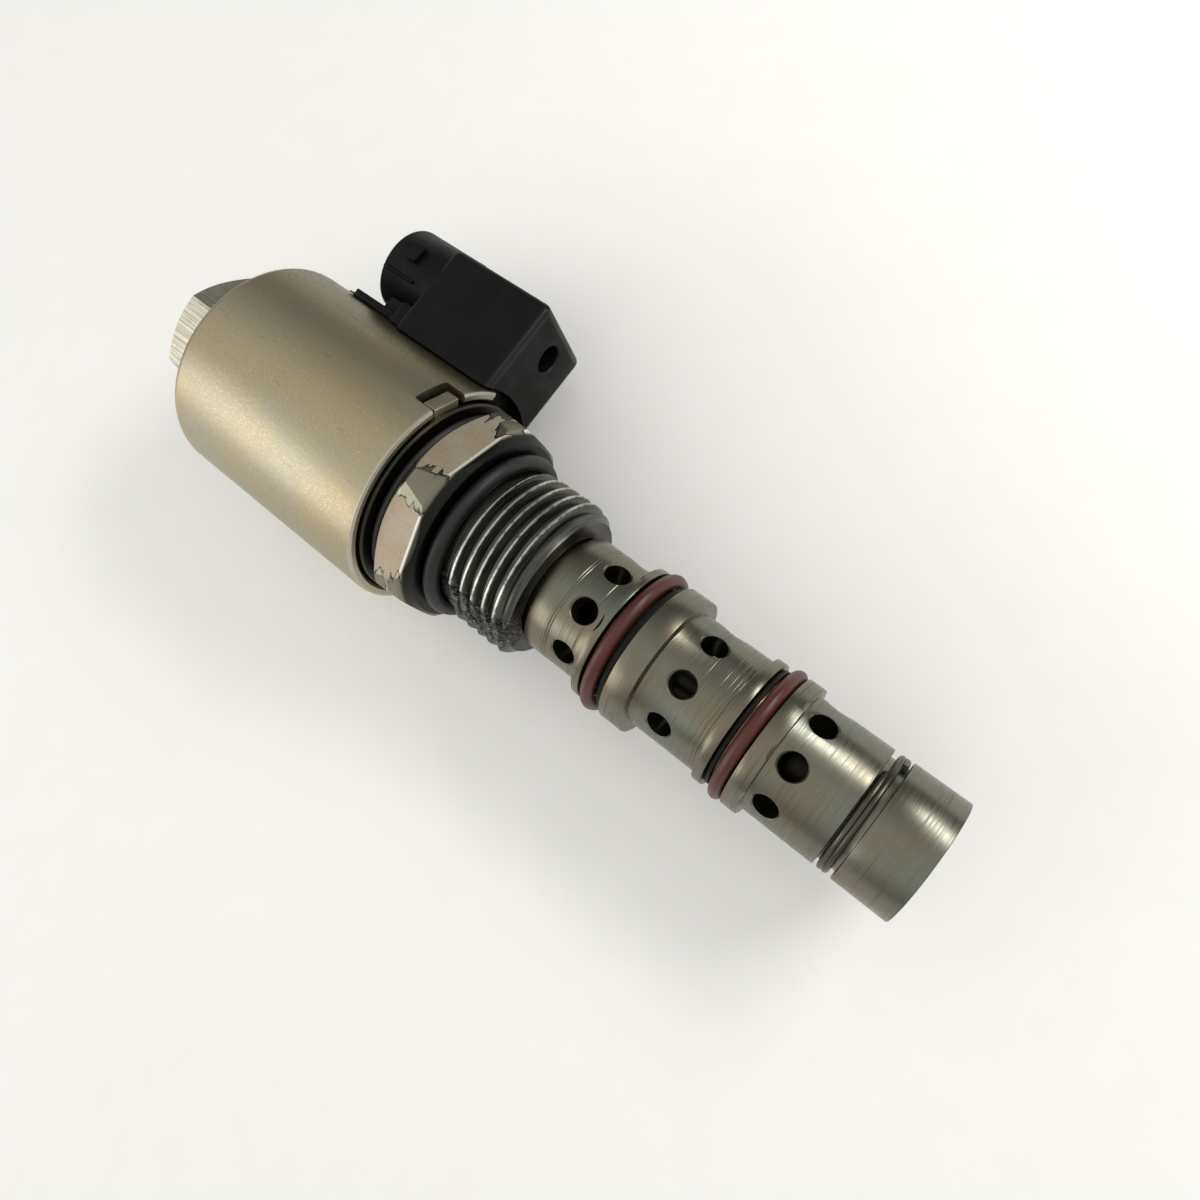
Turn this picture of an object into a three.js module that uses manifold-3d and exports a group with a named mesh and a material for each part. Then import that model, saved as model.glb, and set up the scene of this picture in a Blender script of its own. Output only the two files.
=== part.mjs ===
// Screw-in solenoid cartridge valve with a swivelling coil.
// Millimetres. The valve's axis is X with the nose towards +X, the connector stands out
// towards +Y and +Z is up. The origin is the centre of the hexagon's seat face.
import * as THREE from "three";
import { mergeVertices } from "three/addons/utils/BufferGeometryUtils.js";
import Module from "manifold-3d";

const wasm = await Module();
wasm.setup();

// Clearances
const SEAT_GAP = 0.3; // between faces that rest on each other
const PRESS_GAP = 0.1; // around a piece that is pressed or screwed in
const RUN_GAP = 0.08; // around a piece that slides
const SWIVEL_GAP = 0.35; // between the coil and the tube that it turns on

// Fineness of round surfaces
const SEGMENTS = 36;
const RING_SEGMENTS = 32;
const RING_SIDES = 6;
const HOLE_SIDES = 10;
const INNER_SEGMENTS = 24; // around hidden pieces

// Travel of the armature and the spool
const TRAVEL = 2.5;

// Hexagon and thread of the valve body
const HEX_ACROSS_FLATS = 27;
const HEX_LENGTH = 6.4;
const HEX_CORNER_TURNED = 0.69; // taken off the hexagon's corners by turning
const HEX_CHAMFER = 1.5;
const HEX_ANGLE = 32.5;
const THREAD_RADIUS = 11.11;
const THREAD_PITCH = 1.814;
const THREAD_DEPTH = 1.1;
const THREAD_START = 3;
const THREAD_TURNS = 5;
const THREAD_END_CHAMFER = 1.1;
const CORE_WALL = 1.4; // web between the tube's seat and the cage's seat
const CORE_PASSAGE_RADIUS = 2.6;

// Cage, from the body towards the nose
const BORE_RADIUS = 5;
const TAIL_WALL = 2.1;
const NECK_LENGTH = 1;
const PORT_1 = { length: 8.7, radius: 8.15, holes: 6.05 };
const LIP_1 = { length: 1.1, step: 0.15 }; // step down from the land beyond the groove
const GROOVE_1 = { length: 3.4 };
const LAND_1 = { length: 3.2, radius: 9.5 };
const PORT_2 = { length: 10, radius: 7.95, holes: 4.1 };
const LIP_2 = { length: 1.3, step: 0.2 };
const GROOVE_2 = { length: 2.95 };
const LAND_2 = { length: 2.2, radius: 8.8 };
const PORT_3 = { length: 9.8, radius: 7.85, holes: 2.45 };
const WIRE_GROOVE = { length: 2.4, radius: 6.95 };
const NOSE = { length: 7.15, radius: 7.9 };
const CAGE_CHAMFER = 0.4;
const HOLE_RADIUS = 1.65;
const HOLE_COUNT = 8;
const HOLE_ANGLE = 6.5;
const NOSE_BORE_STEP = 0.6; // from the spool's bore out to the plug's bore

// Seals
const SEAL_SECTION = 1.78; // thickness of the cage's O-rings
const SEAL_1_PROUD = 0.45; // of the O-ring beyond the land beside it
const SEAL_2_PROUD = 0.25;
const SEAL_1_SETBACK = 0.42; // from the groove's wall to the O-ring
const BACKUP_LENGTH = 0.8;
const SEAT_SEAL_SECTION = 2.1;
const COIL_SEAL_SECTION = 1.2;
const COIL_SEAL_INSET = 0.1; // from the edge of the hexagon's rear face
const COIL_SEAL_SETBACK = 1.3; // from the can's bore
const NUT_SEAL_SECTION = 1.2;
const NUT_SEAL_STANDOFF = 1.1; // from the tube to the seal

// Wire lock ring with two turns
const WIRE_RADIUS = 0.5;
const WIRE_TURNS = 2;
const WIRE_ANGLE = 31;

// Nose plug, return spring and spool
const PLUG_WALL = 1.3;
const PLUG_FLOOR = 2.6;
const PLUG_RECESS = 0.9;
const SPRING_WIRE_RADIUS = 0.42;
const SPRING_RADIUS = 3.2;
const SPRING_TURNS = 6;
const SPOOL_NECK_RADIUS = 3.2;
const SPOOL_START_LAND = 8;
const SPOOL_SETBACK = 3.5; // from the cage's rear end to the spool
const SPRING_SPIGOT = { length: 1.6, radius: 2.4 };

// Armature tube and what is in it
const TUBE_RADIUS = 5.8;
const TUBE_WALL = 0.7;
const POLE_LENGTH = 14.8;
const ARMATURE_LENGTH = 21.2;
const ARMATURE_VENT = 1.1;
const PIN_RADIUS = 1.35;
const PIN_SOCKET = 7;
const TUBE_END_SETBACK = 0.8; // of the tube's end inside the nut

// Coil
const COIL_GAP = 1.7; // between the hexagon and the coil's front plate
const CAN_RADIUS = 16;
const CAN_LENGTH = 36.1;
const CAN_WALL = 1.4;
const CAN_END_WALL = 2;
const CAN_EDGE_RADIUS = 3;
const PLATE_THICKNESS = 2.7;
const PLATE_PROUD = 0.3; // of the plate's face beyond the can's rim
const NOTCH_WIDTH = 5.4;
const NOTCH_DEPTH = 3.3;
const NOTCH_ANGLES = [53.5, 233.5];
const TAB_WIDTH = 4.8;
const TAB_DEPTH = 2.3;
const TAB_INSET = 0.4; // of the tabs inside the can's outside
const BOBBIN_WALL = 1;
const BOBBIN_FLANGE = 1.2;
const WINDING_INSET = 0.4; // of the winding inside the bobbin's flanges
const JACKET_WALL = 1.4; // of the plastic between the bobbin and the can

// Connector. Heights are above the can, and setbacks run from the can's front rim.
const NECK_WIDTH = 10.4;
const PAD = { ahead: 7.5, thickness: 0.6, width: 12 }; // ahead of the can's rear end
const BLOCK = { setback: 0.4, length: 17.4, height: 11.6, width: 15.5, corner: 1.4 };
const BARREL = { setback: 27.3, height: 7.8, radius: 6.2 };
const WEB = { setback: 0.5, width: 6.4 }; // behind the barrel's mouth
const SOCKET = { radius: 5.3, depth: 11.2 };
const VENT_HOLE = { height: 8, radius: 1.7, depth: 3 };
const LUG = { setback: 3.1, length: 1.9, height: 0.9, width: 2.6, proud: 0.75 };
const TERMINAL = { tip: 2.2, width: 1.5, thickness: 0.8, spacing: 3.8, bend: 6 };

// Coil nut
const NUT_ACROSS_FLATS = 17;
const NUT_LENGTH = 9.6;
const NUT_CHAMFER = 1;
const NUT_ANGLE = 21.5;

// Places along the axis that several pieces share
const threadEnd = THREAD_START + (THREAD_TURNS + 0.5) * THREAD_PITCH + 0.2;
const lip1Radius = LAND_1.radius - LIP_1.step;
const lip2Radius = LAND_2.radius - LIP_2.step;
const seal1Radius = LAND_1.radius + SEAL_1_PROUD;
const seal2Radius = LAND_2.radius + SEAL_2_PROUD;
const groove1Radius = seal1Radius - SEAL_SECTION - PRESS_GAP;
const groove2Radius = seal2Radius - SEAL_SECTION - PRESS_GAP;
const cage = stations(threadEnd + NECK_LENGTH, {
  port1: PORT_1, lip1: { ...LIP_1, radius: lip1Radius },
  groove1: { ...GROOVE_1, radius: groove1Radius }, land1: LAND_1,
  port2: PORT_2, lip2: { ...LIP_2, radius: lip2Radius },
  groove2: { ...GROOVE_2, radius: groove2Radius }, land2: LAND_2,
  port3: PORT_3, wireGroove: WIRE_GROOVE, nose: NOSE,
});
const tailRadius = BORE_RADIUS + TAIL_WALL;
const noseBoreRadius = BORE_RADIUS + NOSE_BORE_STEP;
const cageRear = CORE_WALL;
const noseEnd = cage.nose.end;
const hexRear = -HEX_LENGTH;
const hexCornerRadius = HEX_ACROSS_FLATS / Math.sqrt(3) - HEX_CORNER_TURNED;
const webRear = -CORE_WALL;
const plateFront = hexRear - COIL_GAP;
const plateRear = plateFront - PLATE_THICKNESS;
const canFront = plateFront - PLATE_PROUD;
const canRear = canFront - CAN_LENGTH;
const canBore = CAN_RADIUS - CAN_WALL;
const coilRear = canRear + CAN_END_WALL + SEAT_GAP;
const coilFront = plateRear - SEAT_GAP;
const coilHole = TUBE_RADIUS + SWIVEL_GAP;
const nutFront = canRear - NUT_SEAL_SECTION - 2 * PRESS_GAP;
const nutRear = nutFront - NUT_LENGTH;
const tubeBore = TUBE_RADIUS - TUBE_WALL;
const tubeFront = webRear - SEAT_GAP;
const tubeRear = nutRear + TUBE_END_SETBACK;
const poleRear = tubeFront - POLE_LENGTH;
const armatureFront = poleRear - TRAVEL - SEAT_GAP;
const armatureRear = armatureFront - ARMATURE_LENGTH;
const spoolRear = cageRear + SPOOL_SETBACK;
const pinRear = armatureFront - PIN_SOCKET;
const pinFront = spoolRear - SEAT_GAP;
const coilSealRadius = Math.min(
  hexCornerRadius - HEX_CHAMFER - COIL_SEAL_INSET,
  canBore - COIL_SEAL_SETBACK,
);
const nutSealRadius = TUBE_RADIUS + NUT_SEAL_STANDOFF + NUT_SEAL_SECTION;
const bobbinFlangeRadius = canBore - JACKET_WALL - 2 * SEAT_GAP;
const windingRadius = bobbinFlangeRadius - WINDING_INSET;
const padStart = canRear + PAD.ahead;
const padRadius = CAN_RADIUS + SEAT_GAP + PAD.thickness;
const blockEnd = canFront - BLOCK.setback;
const blockStart = blockEnd - BLOCK.length;
const barrelStart = canFront - BARREL.setback;
const barrelHeight = CAN_RADIUS + BARREL.height;
const plugRadius = noseBoreRadius - PRESS_GAP;
const plugStart = cage.wireGroove.start;
const plugEnd = noseEnd - PLUG_RECESS;
const springEnd = plugEnd - PLUG_FLOOR - SEAT_GAP;
const spoolEnd = cage.port3.start + PORT_3.holes + HOLE_RADIUS + 1;
const portHoles = ["port1", "port2", "port3"].map((name) => cage[name].start + cage[name].holes);

// Each stretch of the cage with its start and end, laid one after another.
function stations(start, stretches) {
  const placed = {};
  let x = start;
  for (const [name, stretch] of Object.entries(stretches)) {
    placed[name] = { ...stretch, start: x, end: x + stretch.length };
    x += stretch.length;
  }
  return placed;
}

function radians(degrees) {
  return THREE.MathUtils.degToRad(degrees);
}

// A closed geometry with shared corners and its faces pointing out.
function closed(geometry) {
  const bare = new THREE.BufferGeometry();
  bare.setAttribute("position", geometry.getAttribute("position"));
  if (geometry.index) {
    bare.setIndex(geometry.index);
  }
  const merged = mergeVertices(bare, 1e-3);
  const position = merged.getAttribute("position");
  const corners = Array.from(merged.index.array);
  const kept = [];
  let volume = 0;
  const a = new THREE.Vector3();
  const b = new THREE.Vector3();
  const c = new THREE.Vector3();
  for (let i = 0; i < corners.length; i += 3) {
    const [p, q, r] = corners.slice(i, i + 3);
    if (p === q || q === r || r === p) {
      continue;
    }
    kept.push(p, q, r);
    a.fromBufferAttribute(position, p);
    b.fromBufferAttribute(position, q);
    c.fromBufferAttribute(position, r);
    volume += a.dot(b.cross(c));
  }
  if (volume < 0) {
    kept.reverse();
  }
  merged.setIndex(kept);
  return merged;
}

function toManifold(geometry) {
  const shape = closed(geometry);
  return new wasm.Manifold(new wasm.Mesh({
    numProp: 3,
    vertProperties: new Float32Array(shape.getAttribute("position").array),
    triVerts: new Uint32Array(shape.index.array),
  }));
}

function fromManifold(solid) {
  const mesh = solid.getMesh();
  const geometry = new THREE.BufferGeometry();
  geometry.setAttribute("position", new THREE.BufferAttribute(mesh.vertProperties, 3));
  geometry.setIndex(new THREE.BufferAttribute(mesh.triVerts, 1));
  return geometry;
}

// Solids joined, cut or kept in common, in the order given.
function join(first, ...others) {
  return fromManifold(others.reduce((sum, next) => sum.add(toManifold(next)), toManifold(first)));
}

function cut(first, ...others) {
  return fromManifold(others.reduce((rest, next) => rest.subtract(toManifold(next)),
    toManifold(first)));
}

function common(first, second) {
  return fromManifold(toManifold(first).intersect(toManifold(second)));
}

// A turned solid about the X axis. The outline is a list of [x, radius] corners.
function turned(outline, segments = SEGMENTS) {
  const points = outline.map(([x, radius]) => new THREE.Vector2(Math.max(radius, 0), x));
  const open = points[0].x > 0 || points[points.length - 1].x > 0;
  if (open) {
    points.push(points[0].clone());
  }
  return new THREE.LatheGeometry(points, segments).rotateZ(-Math.PI / 2);
}

function rod(start, end, radius, segments = SEGMENTS) {
  return turned([[start, 0], [start, radius], [end, radius], [end, 0]], segments);
}

function sleeveRing(start, end, inner, outer, segments = SEGMENTS) {
  return turned([[start, inner], [start, outer], [end, outer], [end, inner]], segments);
}

// A round-section ring about the X axis, sized by its outer radius.
function sealRing(centre, outerRadius, section) {
  const outline = [];
  for (let i = 0; i < RING_SIDES; i += 1) {
    const angle = (i + 0.5) * 2 * Math.PI / RING_SIDES;
    outline.push([
      centre + Math.cos(angle) * section / 2,
      outerRadius - section / 2 + Math.sin(angle) * section / 2,
    ]);
  }
  return turned(outline, RING_SEGMENTS);
}

function polygonShape(sides, radius, angle) {
  const shape = new THREE.Shape();
  for (let i = 0; i < sides; i += 1) {
    const turn = radians(angle) + i * 2 * Math.PI / sides;
    const at = [radius * Math.cos(turn), radius * Math.sin(turn)];
    if (i === 0) {
      shape.moveTo(...at);
    } else {
      shape.lineTo(...at);
    }
  }
  shape.closePath();
  return shape;
}

// A shape drawn in the Y-Z plane and drawn out along X.
function prism(shape, start, end) {
  const geometry = new THREE.ExtrudeGeometry(shape, {
    depth: end - start,
    bevelEnabled: false,
    curveSegments: 6,
  });
  const turn = new THREE.Matrix4().set(0, 0, 1, start, 1, 0, 0, 0, 0, 1, 0, 0, 0, 0, 0, 1);
  return geometry.applyMatrix4(turn);
}

function hexPrism(start, end, acrossFlats, angle) {
  return prism(polygonShape(6, acrossFlats / Math.sqrt(3), angle), start, end);
}

// A box between two corners.
function block(low, high) {
  const size = high.map((value, i) => value - low[i]);
  const middle = high.map((value, i) => (value + low[i]) / 2);
  return new THREE.BoxGeometry(...size).translate(...middle);
}

// A solid wire along a helix about the X axis.
class Helix extends THREE.Curve {
  constructor(start, end, radius, turns, angle) {
    super();
    Object.assign(this, { start, end, radius, turns, angle });
  }

  getPoint(t, target = new THREE.Vector3()) {
    const turn = this.angle + t * this.turns * 2 * Math.PI;
    return target.set(
      this.start + (this.end - this.start) * t,
      this.radius * Math.cos(turn),
      this.radius * Math.sin(turn),
    );
  }
}

function wire(path, wireRadius, steps) {
  return new THREE.ExtrudeGeometry(polygonShape(6, wireRadius, 30), {
    steps,
    extrudePath: path,
    bevelEnabled: false,
  });
}

// Valve body: hexagon with turned corners, threaded shank and its two seats.
function makeHexBody() {
  const hexagon = common(
    hexPrism(hexRear, 0, HEX_ACROSS_FLATS, HEX_ANGLE),
    turned([
      [hexRear, 0],
      [hexRear, hexCornerRadius - HEX_CHAMFER],
      [hexRear + HEX_CHAMFER, hexCornerRadius],
      [-HEX_CHAMFER, hexCornerRadius - 0.3],
      [0, hexCornerRadius - 0.3 - HEX_CHAMFER],
      [0, 0],
    ]),
  );
  const shank = [[-1, 0], [-1, THREAD_RADIUS - THREAD_DEPTH]];
  const crest = THREAD_PITCH / 10;
  const root = THREAD_RADIUS - THREAD_DEPTH;
  for (let i = 0; i < THREAD_TURNS; i += 1) {
    const middle = THREAD_START + (i + 0.5) * THREAD_PITCH;
    shank.push([middle - THREAD_PITCH * 0.42, root]);
    shank.push([middle - crest, THREAD_RADIUS], [middle + crest, THREAD_RADIUS]);
    shank.push([middle + THREAD_PITCH * 0.42, root]);
  }
  shank.push([threadEnd - THREAD_PITCH * 0.5, THREAD_RADIUS - 0.3]);
  shank.push([threadEnd, THREAD_RADIUS - THREAD_END_CHAMFER], [threadEnd, 0]);
  return cut(
    join(hexagon, turned(shank)),
    rod(hexRear - 1, webRear, TUBE_RADIUS + PRESS_GAP),
    rod(webRear - 1, cageRear, CORE_PASSAGE_RADIUS),
    rod(cageRear - SEAT_GAP, threadEnd + 1, tailRadius + PRESS_GAP),
  );
}

function cageOutline() {
  const stretches = Object.values(cage);
  const first = stretches[0];
  const outline = [[cageRear, tailRadius], [first.start, tailRadius]];
  outline.push([first.start, first.radius - CAGE_CHAMFER]);
  outline.push([first.start + CAGE_CHAMFER, first.radius], [first.end, first.radius]);
  for (const stretch of stretches.slice(1, -1)) {
    outline.push([stretch.start, stretch.radius], [stretch.end, stretch.radius]);
  }
  outline.push([cage.nose.start, cage.nose.radius], [noseEnd - CAGE_CHAMFER, cage.nose.radius]);
  outline.push([noseEnd, cage.nose.radius - CAGE_CHAMFER], [noseEnd, noseBoreRadius]);
  outline.push([plugStart - SEAT_GAP, noseBoreRadius], [plugStart - SEAT_GAP, BORE_RADIUS]);
  outline.push([cageRear, BORE_RADIUS]);
  return outline;
}

// A round drill at an angle about the X axis.
function drill(x, angle, radius, inner, outer, sides = HOLE_SIDES) {
  const tool = new THREE.CylinderGeometry(radius, radius, outer - inner, sides);
  return tool.translate(0, (inner + outer) / 2, 0).rotateX(radians(angle)).translate(x, 0, 0);
}

// Cage: the ported sleeve that the spool slides in.
function makeCage() {
  const drills = [];
  for (const x of portHoles) {
    for (let i = 0; i < HOLE_COUNT; i += 1) {
      const angle = HOLE_ANGLE + i * 360 / HOLE_COUNT;
      drills.push(drill(x, angle, HOLE_RADIUS, BORE_RADIUS - 1.5, LAND_1.radius + 1));
    }
  }
  return cut(turned(cageOutline()), ...drills);
}

function makeWireRing() {
  const start = cage.wireGroove.start + 0.15 + WIRE_RADIUS;
  const end = cage.wireGroove.end - 0.2 - WIRE_RADIUS;
  const radius = WIRE_GROOVE.radius + PRESS_GAP / 2 + WIRE_RADIUS;
  const turns = WIRE_TURNS - 0.06;
  const path = new Helix(start, end, radius, turns, radians(WIRE_ANGLE) - turns * 2 * Math.PI);
  return wire(path, WIRE_RADIUS, 44);
}

function makeNosePlug() {
  const inner = plugRadius - PLUG_WALL;
  return turned([
    [plugStart, inner], [plugStart, plugRadius], [plugEnd, plugRadius], [plugEnd, 1],
    [plugEnd - PLUG_FLOOR, 1], [plugEnd - PLUG_FLOOR, inner],
  ], INNER_SEGMENTS);
}

function makeSpool() {
  const land = BORE_RADIUS - RUN_GAP;
  const [hole1, hole2, hole3] = portHoles;
  const edges = [
    [spoolRear + SPOOL_START_LAND, hole1 + 0.6],
    [hole2 - HOLE_RADIUS - 0.6, hole3 - HOLE_RADIUS + 0.6],
  ];
  const outline = [[spoolRear, 0], [spoolRear, land]];
  for (const [start, end] of edges) {
    outline.push([start, land], [start, SPOOL_NECK_RADIUS]);
    outline.push([end, SPOOL_NECK_RADIUS], [end, land]);
  }
  outline.push([spoolEnd, land], [spoolEnd, SPRING_SPIGOT.radius]);
  outline.push([spoolEnd + SPRING_SPIGOT.length, SPRING_SPIGOT.radius]);
  outline.push([spoolEnd + SPRING_SPIGOT.length, 0]);
  return turned(outline, INNER_SEGMENTS);
}

function makeReturnSpring() {
  const start = spoolEnd + SEAT_GAP + SPRING_WIRE_RADIUS;
  const end = springEnd - SPRING_WIRE_RADIUS;
  return wire(new Helix(start, end, SPRING_RADIUS, SPRING_TURNS, 0), SPRING_WIRE_RADIUS,
    SPRING_TURNS * 10);
}

function makePole() {
  return sleeveRing(poleRear, tubeFront, PIN_RADIUS + RUN_GAP, tubeBore - PRESS_GAP,
    INNER_SEGMENTS);
}

function makeArmature() {
  const socket = PIN_RADIUS + PRESS_GAP;
  const socketEnd = pinRear - SEAT_GAP;
  return turned([
    [armatureRear, ARMATURE_VENT], [armatureRear, tubeBore - RUN_GAP],
    [armatureFront, tubeBore - RUN_GAP], [armatureFront, socket],
    [socketEnd, socket], [socketEnd, ARMATURE_VENT],
  ], INNER_SEGMENTS);
}

function makeTubeEnd() {
  return rod(tubeRear + SEAT_GAP, armatureRear - SEAT_GAP, tubeBore - PRESS_GAP,
    INNER_SEGMENTS);
}

function makeCoilNut() {
  const hexagon = common(
    hexPrism(nutRear, nutFront, NUT_ACROSS_FLATS, NUT_ANGLE),
    turned([
      [nutRear, 0],
      [nutRear, NUT_ACROSS_FLATS / 2 + 0.3],
      [nutRear + NUT_CHAMFER, NUT_ACROSS_FLATS / 2 + 1.2],
      [nutFront - NUT_CHAMFER, NUT_ACROSS_FLATS / 2 + 1.2],
      [nutFront, NUT_ACROSS_FLATS / 2],
      [nutFront, 0],
    ]),
  );
  return cut(hexagon, rod(nutRear - 1, nutFront + 1, TUBE_RADIUS + PRESS_GAP));
}

// Coil can: drawn steel cup with a slot for the connector and two staking notches.
function makeCan() {
  const outline = [[canFront, canBore], [canFront, CAN_RADIUS]];
  for (let i = 0; i <= 4; i += 1) {
    const angle = i * Math.PI / 8;
    outline.push([
      canRear + CAN_EDGE_RADIUS * (1 - Math.sin(angle)),
      CAN_RADIUS - CAN_EDGE_RADIUS * (1 - Math.cos(angle)),
    ]);
  }
  outline.push([canRear, coilHole], [canRear + CAN_END_WALL, coilHole]);
  outline.push([canRear + CAN_END_WALL, canBore]);
  const half = NECK_WIDTH / 2 + SEAT_GAP;
  const slot = block([padStart - SEAT_GAP, canBore - 4, -half],
    [canFront + 1, CAN_RADIUS + 1, half]);
  const notches = NOTCH_ANGLES.map((angle) => radialBlock(
    canFront - NOTCH_DEPTH, canFront + 1, canBore - 1, CAN_RADIUS + 1, NOTCH_WIDTH, angle));
  return cut(turned(outline), slot, ...notches);
}

// A box that stands on the axis at an angle about X.
function radialBlock(start, end, inner, outer, width, angle) {
  const upright = block([start, inner, -width / 2], [end, outer, width / 2]);
  return upright.rotateX(radians(angle));
}

// Front plate that closes the can and carries the flux, with its staking tabs.
function makeFluxPlate() {
  const plate = sleeveRing(plateRear, plateFront, coilHole, canBore - SEAT_GAP);
  const tabs = NOTCH_ANGLES.map((angle) => radialBlock(
    canFront - TAB_DEPTH, canFront, canBore - 1, CAN_RADIUS - TAB_INSET, TAB_WIDTH, angle));
  return join(plate, ...tabs);
}

function makeBobbin() {
  const inner = coilHole;
  const wall = inner + BOBBIN_WALL;
  const flangeRear = coilRear + BOBBIN_FLANGE;
  const flangeFront = coilFront - BOBBIN_FLANGE;
  return turned([
    [coilRear, inner], [coilRear, bobbinFlangeRadius], [flangeRear, bobbinFlangeRadius],
    [flangeRear, wall], [flangeFront, wall], [flangeFront, bobbinFlangeRadius],
    [coilFront, bobbinFlangeRadius], [coilFront, inner],
  ], INNER_SEGMENTS);
}

function makeWinding() {
  return sleeveRing(
    coilRear + BOBBIN_FLANGE + SEAT_GAP,
    coilFront - BOBBIN_FLANGE - SEAT_GAP,
    coilHole + BOBBIN_WALL + SEAT_GAP,
    windingRadius,
    INNER_SEGMENTS,
  );
}

function roundedRectangle(width, bottom, top, corner) {
  const half = width / 2;
  const shape = new THREE.Shape();
  shape.moveTo(bottom, -half);
  shape.lineTo(top - corner, -half);
  shape.quadraticCurveTo(top, -half, top, -half + corner);
  shape.lineTo(top, half - corner);
  shape.quadraticCurveTo(top, half, top - corner, half);
  shape.lineTo(bottom, half);
  shape.closePath();
  return shape;
}

function barrelRod(start, end, radius, sides = 32) {
  return rod(start, end, radius, sides).translate(0, barrelHeight, 0);
}

// One terminal: a blade in the socket and a leg down to the winding.
function terminalSolid(side, margin) {
  const z = side * TERMINAL.spacing / 2;
  const tip = barrelStart + TERMINAL.tip - margin;
  const wide = TERMINAL.width / 2 + margin;
  const thick = TERMINAL.thickness / 2 + margin;
  const bend = blockStart + TERMINAL.bend;
  const top = barrelHeight + thick;
  const low = windingRadius + SEAT_GAP - margin;
  return join(
    block([tip, barrelHeight - thick, z - wide], [bend + thick, top, z + wide]),
    block([bend - thick, low, z - wide], [bend + thick, top, z + wide]),
  );
}

// Overmould inside the can, and the neck that leaves it through the slot.
function connectorRoot() {
  const jacket = sleeveRing(coilRear, coilFront, bobbinFlangeRadius + SEAT_GAP,
    canBore - SEAT_GAP);
  const half = NECK_WIDTH / 2;
  const neck = block([padStart, bobbinFlangeRadius + SEAT_GAP + 0.2, -half],
    [coilFront, barrelHeight - BARREL.radius, half]);
  const padRing = sleeveRing(padStart, blockEnd, CAN_RADIUS + SEAT_GAP, padRadius);
  const pad = common(padRing,
    block([padStart, CAN_RADIUS / 2, -PAD.width / 2], [blockEnd, padRadius + 1, PAD.width / 2]));
  return join(jacket, neck, pad);
}

// Block, barrel, web and locking lug, before the holes.
function connectorHead() {
  const blockTop = CAN_RADIUS + BLOCK.height;
  const section = roundedRectangle(BLOCK.width, canBore - 1.6, blockTop, BLOCK.corner);
  const body = cut(
    prism(section, blockStart, blockEnd),
    rod(blockStart - 1, blockEnd + 1, CAN_RADIUS + SEAT_GAP),
  );
  const web = block([barrelStart + WEB.setback, CAN_RADIUS - 0.5, -WEB.width / 2],
    [blockStart + 1, barrelHeight, WEB.width / 2]);
  const barrel = barrelRod(barrelStart, blockStart + 1, BARREL.radius);
  const lugStart = barrelStart + LUG.setback;
  const lugHeight = barrelHeight + LUG.height;
  const lug = block([lugStart, lugHeight - LUG.width / 2, 0],
    [lugStart + LUG.length, lugHeight + LUG.width / 2, BARREL.radius + LUG.proud]);
  return join(body, web, barrel, lug);
}

// Connector and the coil's overmould, one moulding with an open socket.
function makeConnector() {
  const socket = barrelRod(barrelStart - 1, barrelStart + SOCKET.depth, SOCKET.radius);
  const vent = rod(blockEnd - VENT_HOLE.depth, blockEnd + 1, VENT_HOLE.radius, 16)
    .translate(0, CAN_RADIUS + VENT_HOLE.height, 0);
  return cut(
    join(connectorRoot(), connectorHead()),
    socket,
    vent,
    terminalSolid(-1, PRESS_GAP),
    terminalSolid(1, PRESS_GAP),
  );
}

const finishes = {
  groundSteel: { color: 0x9b9686, roughness: 0.35, metalness: 0.9 },
  darkSteel: { color: 0x55564f, roughness: 0.45, metalness: 0.8 },
  platedSteel: { color: 0xb0a886, roughness: 0.35, metalness: 0.85 },
  brightSteel: { color: 0xb9b6ac, roughness: 0.3, metalness: 0.9 },
  brownRubber: { color: 0x6e322d, roughness: 0.5, metalness: 0 },
  blackRubber: { color: 0x121212, roughness: 0.55, metalness: 0 },
  blackPlastic: { color: 0x18181a, roughness: 0.5, metalness: 0 },
  palePlastic: { color: 0xcfc9b8, roughness: 0.5, metalness: 0 },
  copper: { color: 0xb66a3c, roughness: 0.35, metalness: 0.9 },
  tin: { color: 0xc8c8c4, roughness: 0.3, metalness: 0.9 },
};

// A named piece. Its geometry is kept about its own start and the mesh carries the place.
function piece(name, geometry, finish) {
  const solid = closed(geometry);
  solid.computeBoundingBox();
  const start = solid.boundingBox.min.x;
  solid.translate(-start, 0, 0);
  solid.computeVertexNormals();
  const mesh = new THREE.Mesh(solid, new THREE.MeshStandardMaterial(finishes[finish]));
  mesh.name = name;
  mesh.position.x = start;
  return mesh;
}

const seal1Centre = cage.groove1.start + SEAL_1_SETBACK + SEAL_SECTION / 2;
const seal2Centre = cage.groove2.end - PRESS_GAP * 2 - SEAL_SECTION / 2;
const backup1Start = cage.groove1.end - PRESS_GAP * 2 - BACKUP_LENGTH;
const backup2Start = cage.groove2.start + PRESS_GAP * 1.5;
const seatSealRadius = THREAD_RADIUS - THREAD_DEPTH + SEAT_SEAL_SECTION + PRESS_GAP;

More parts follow.
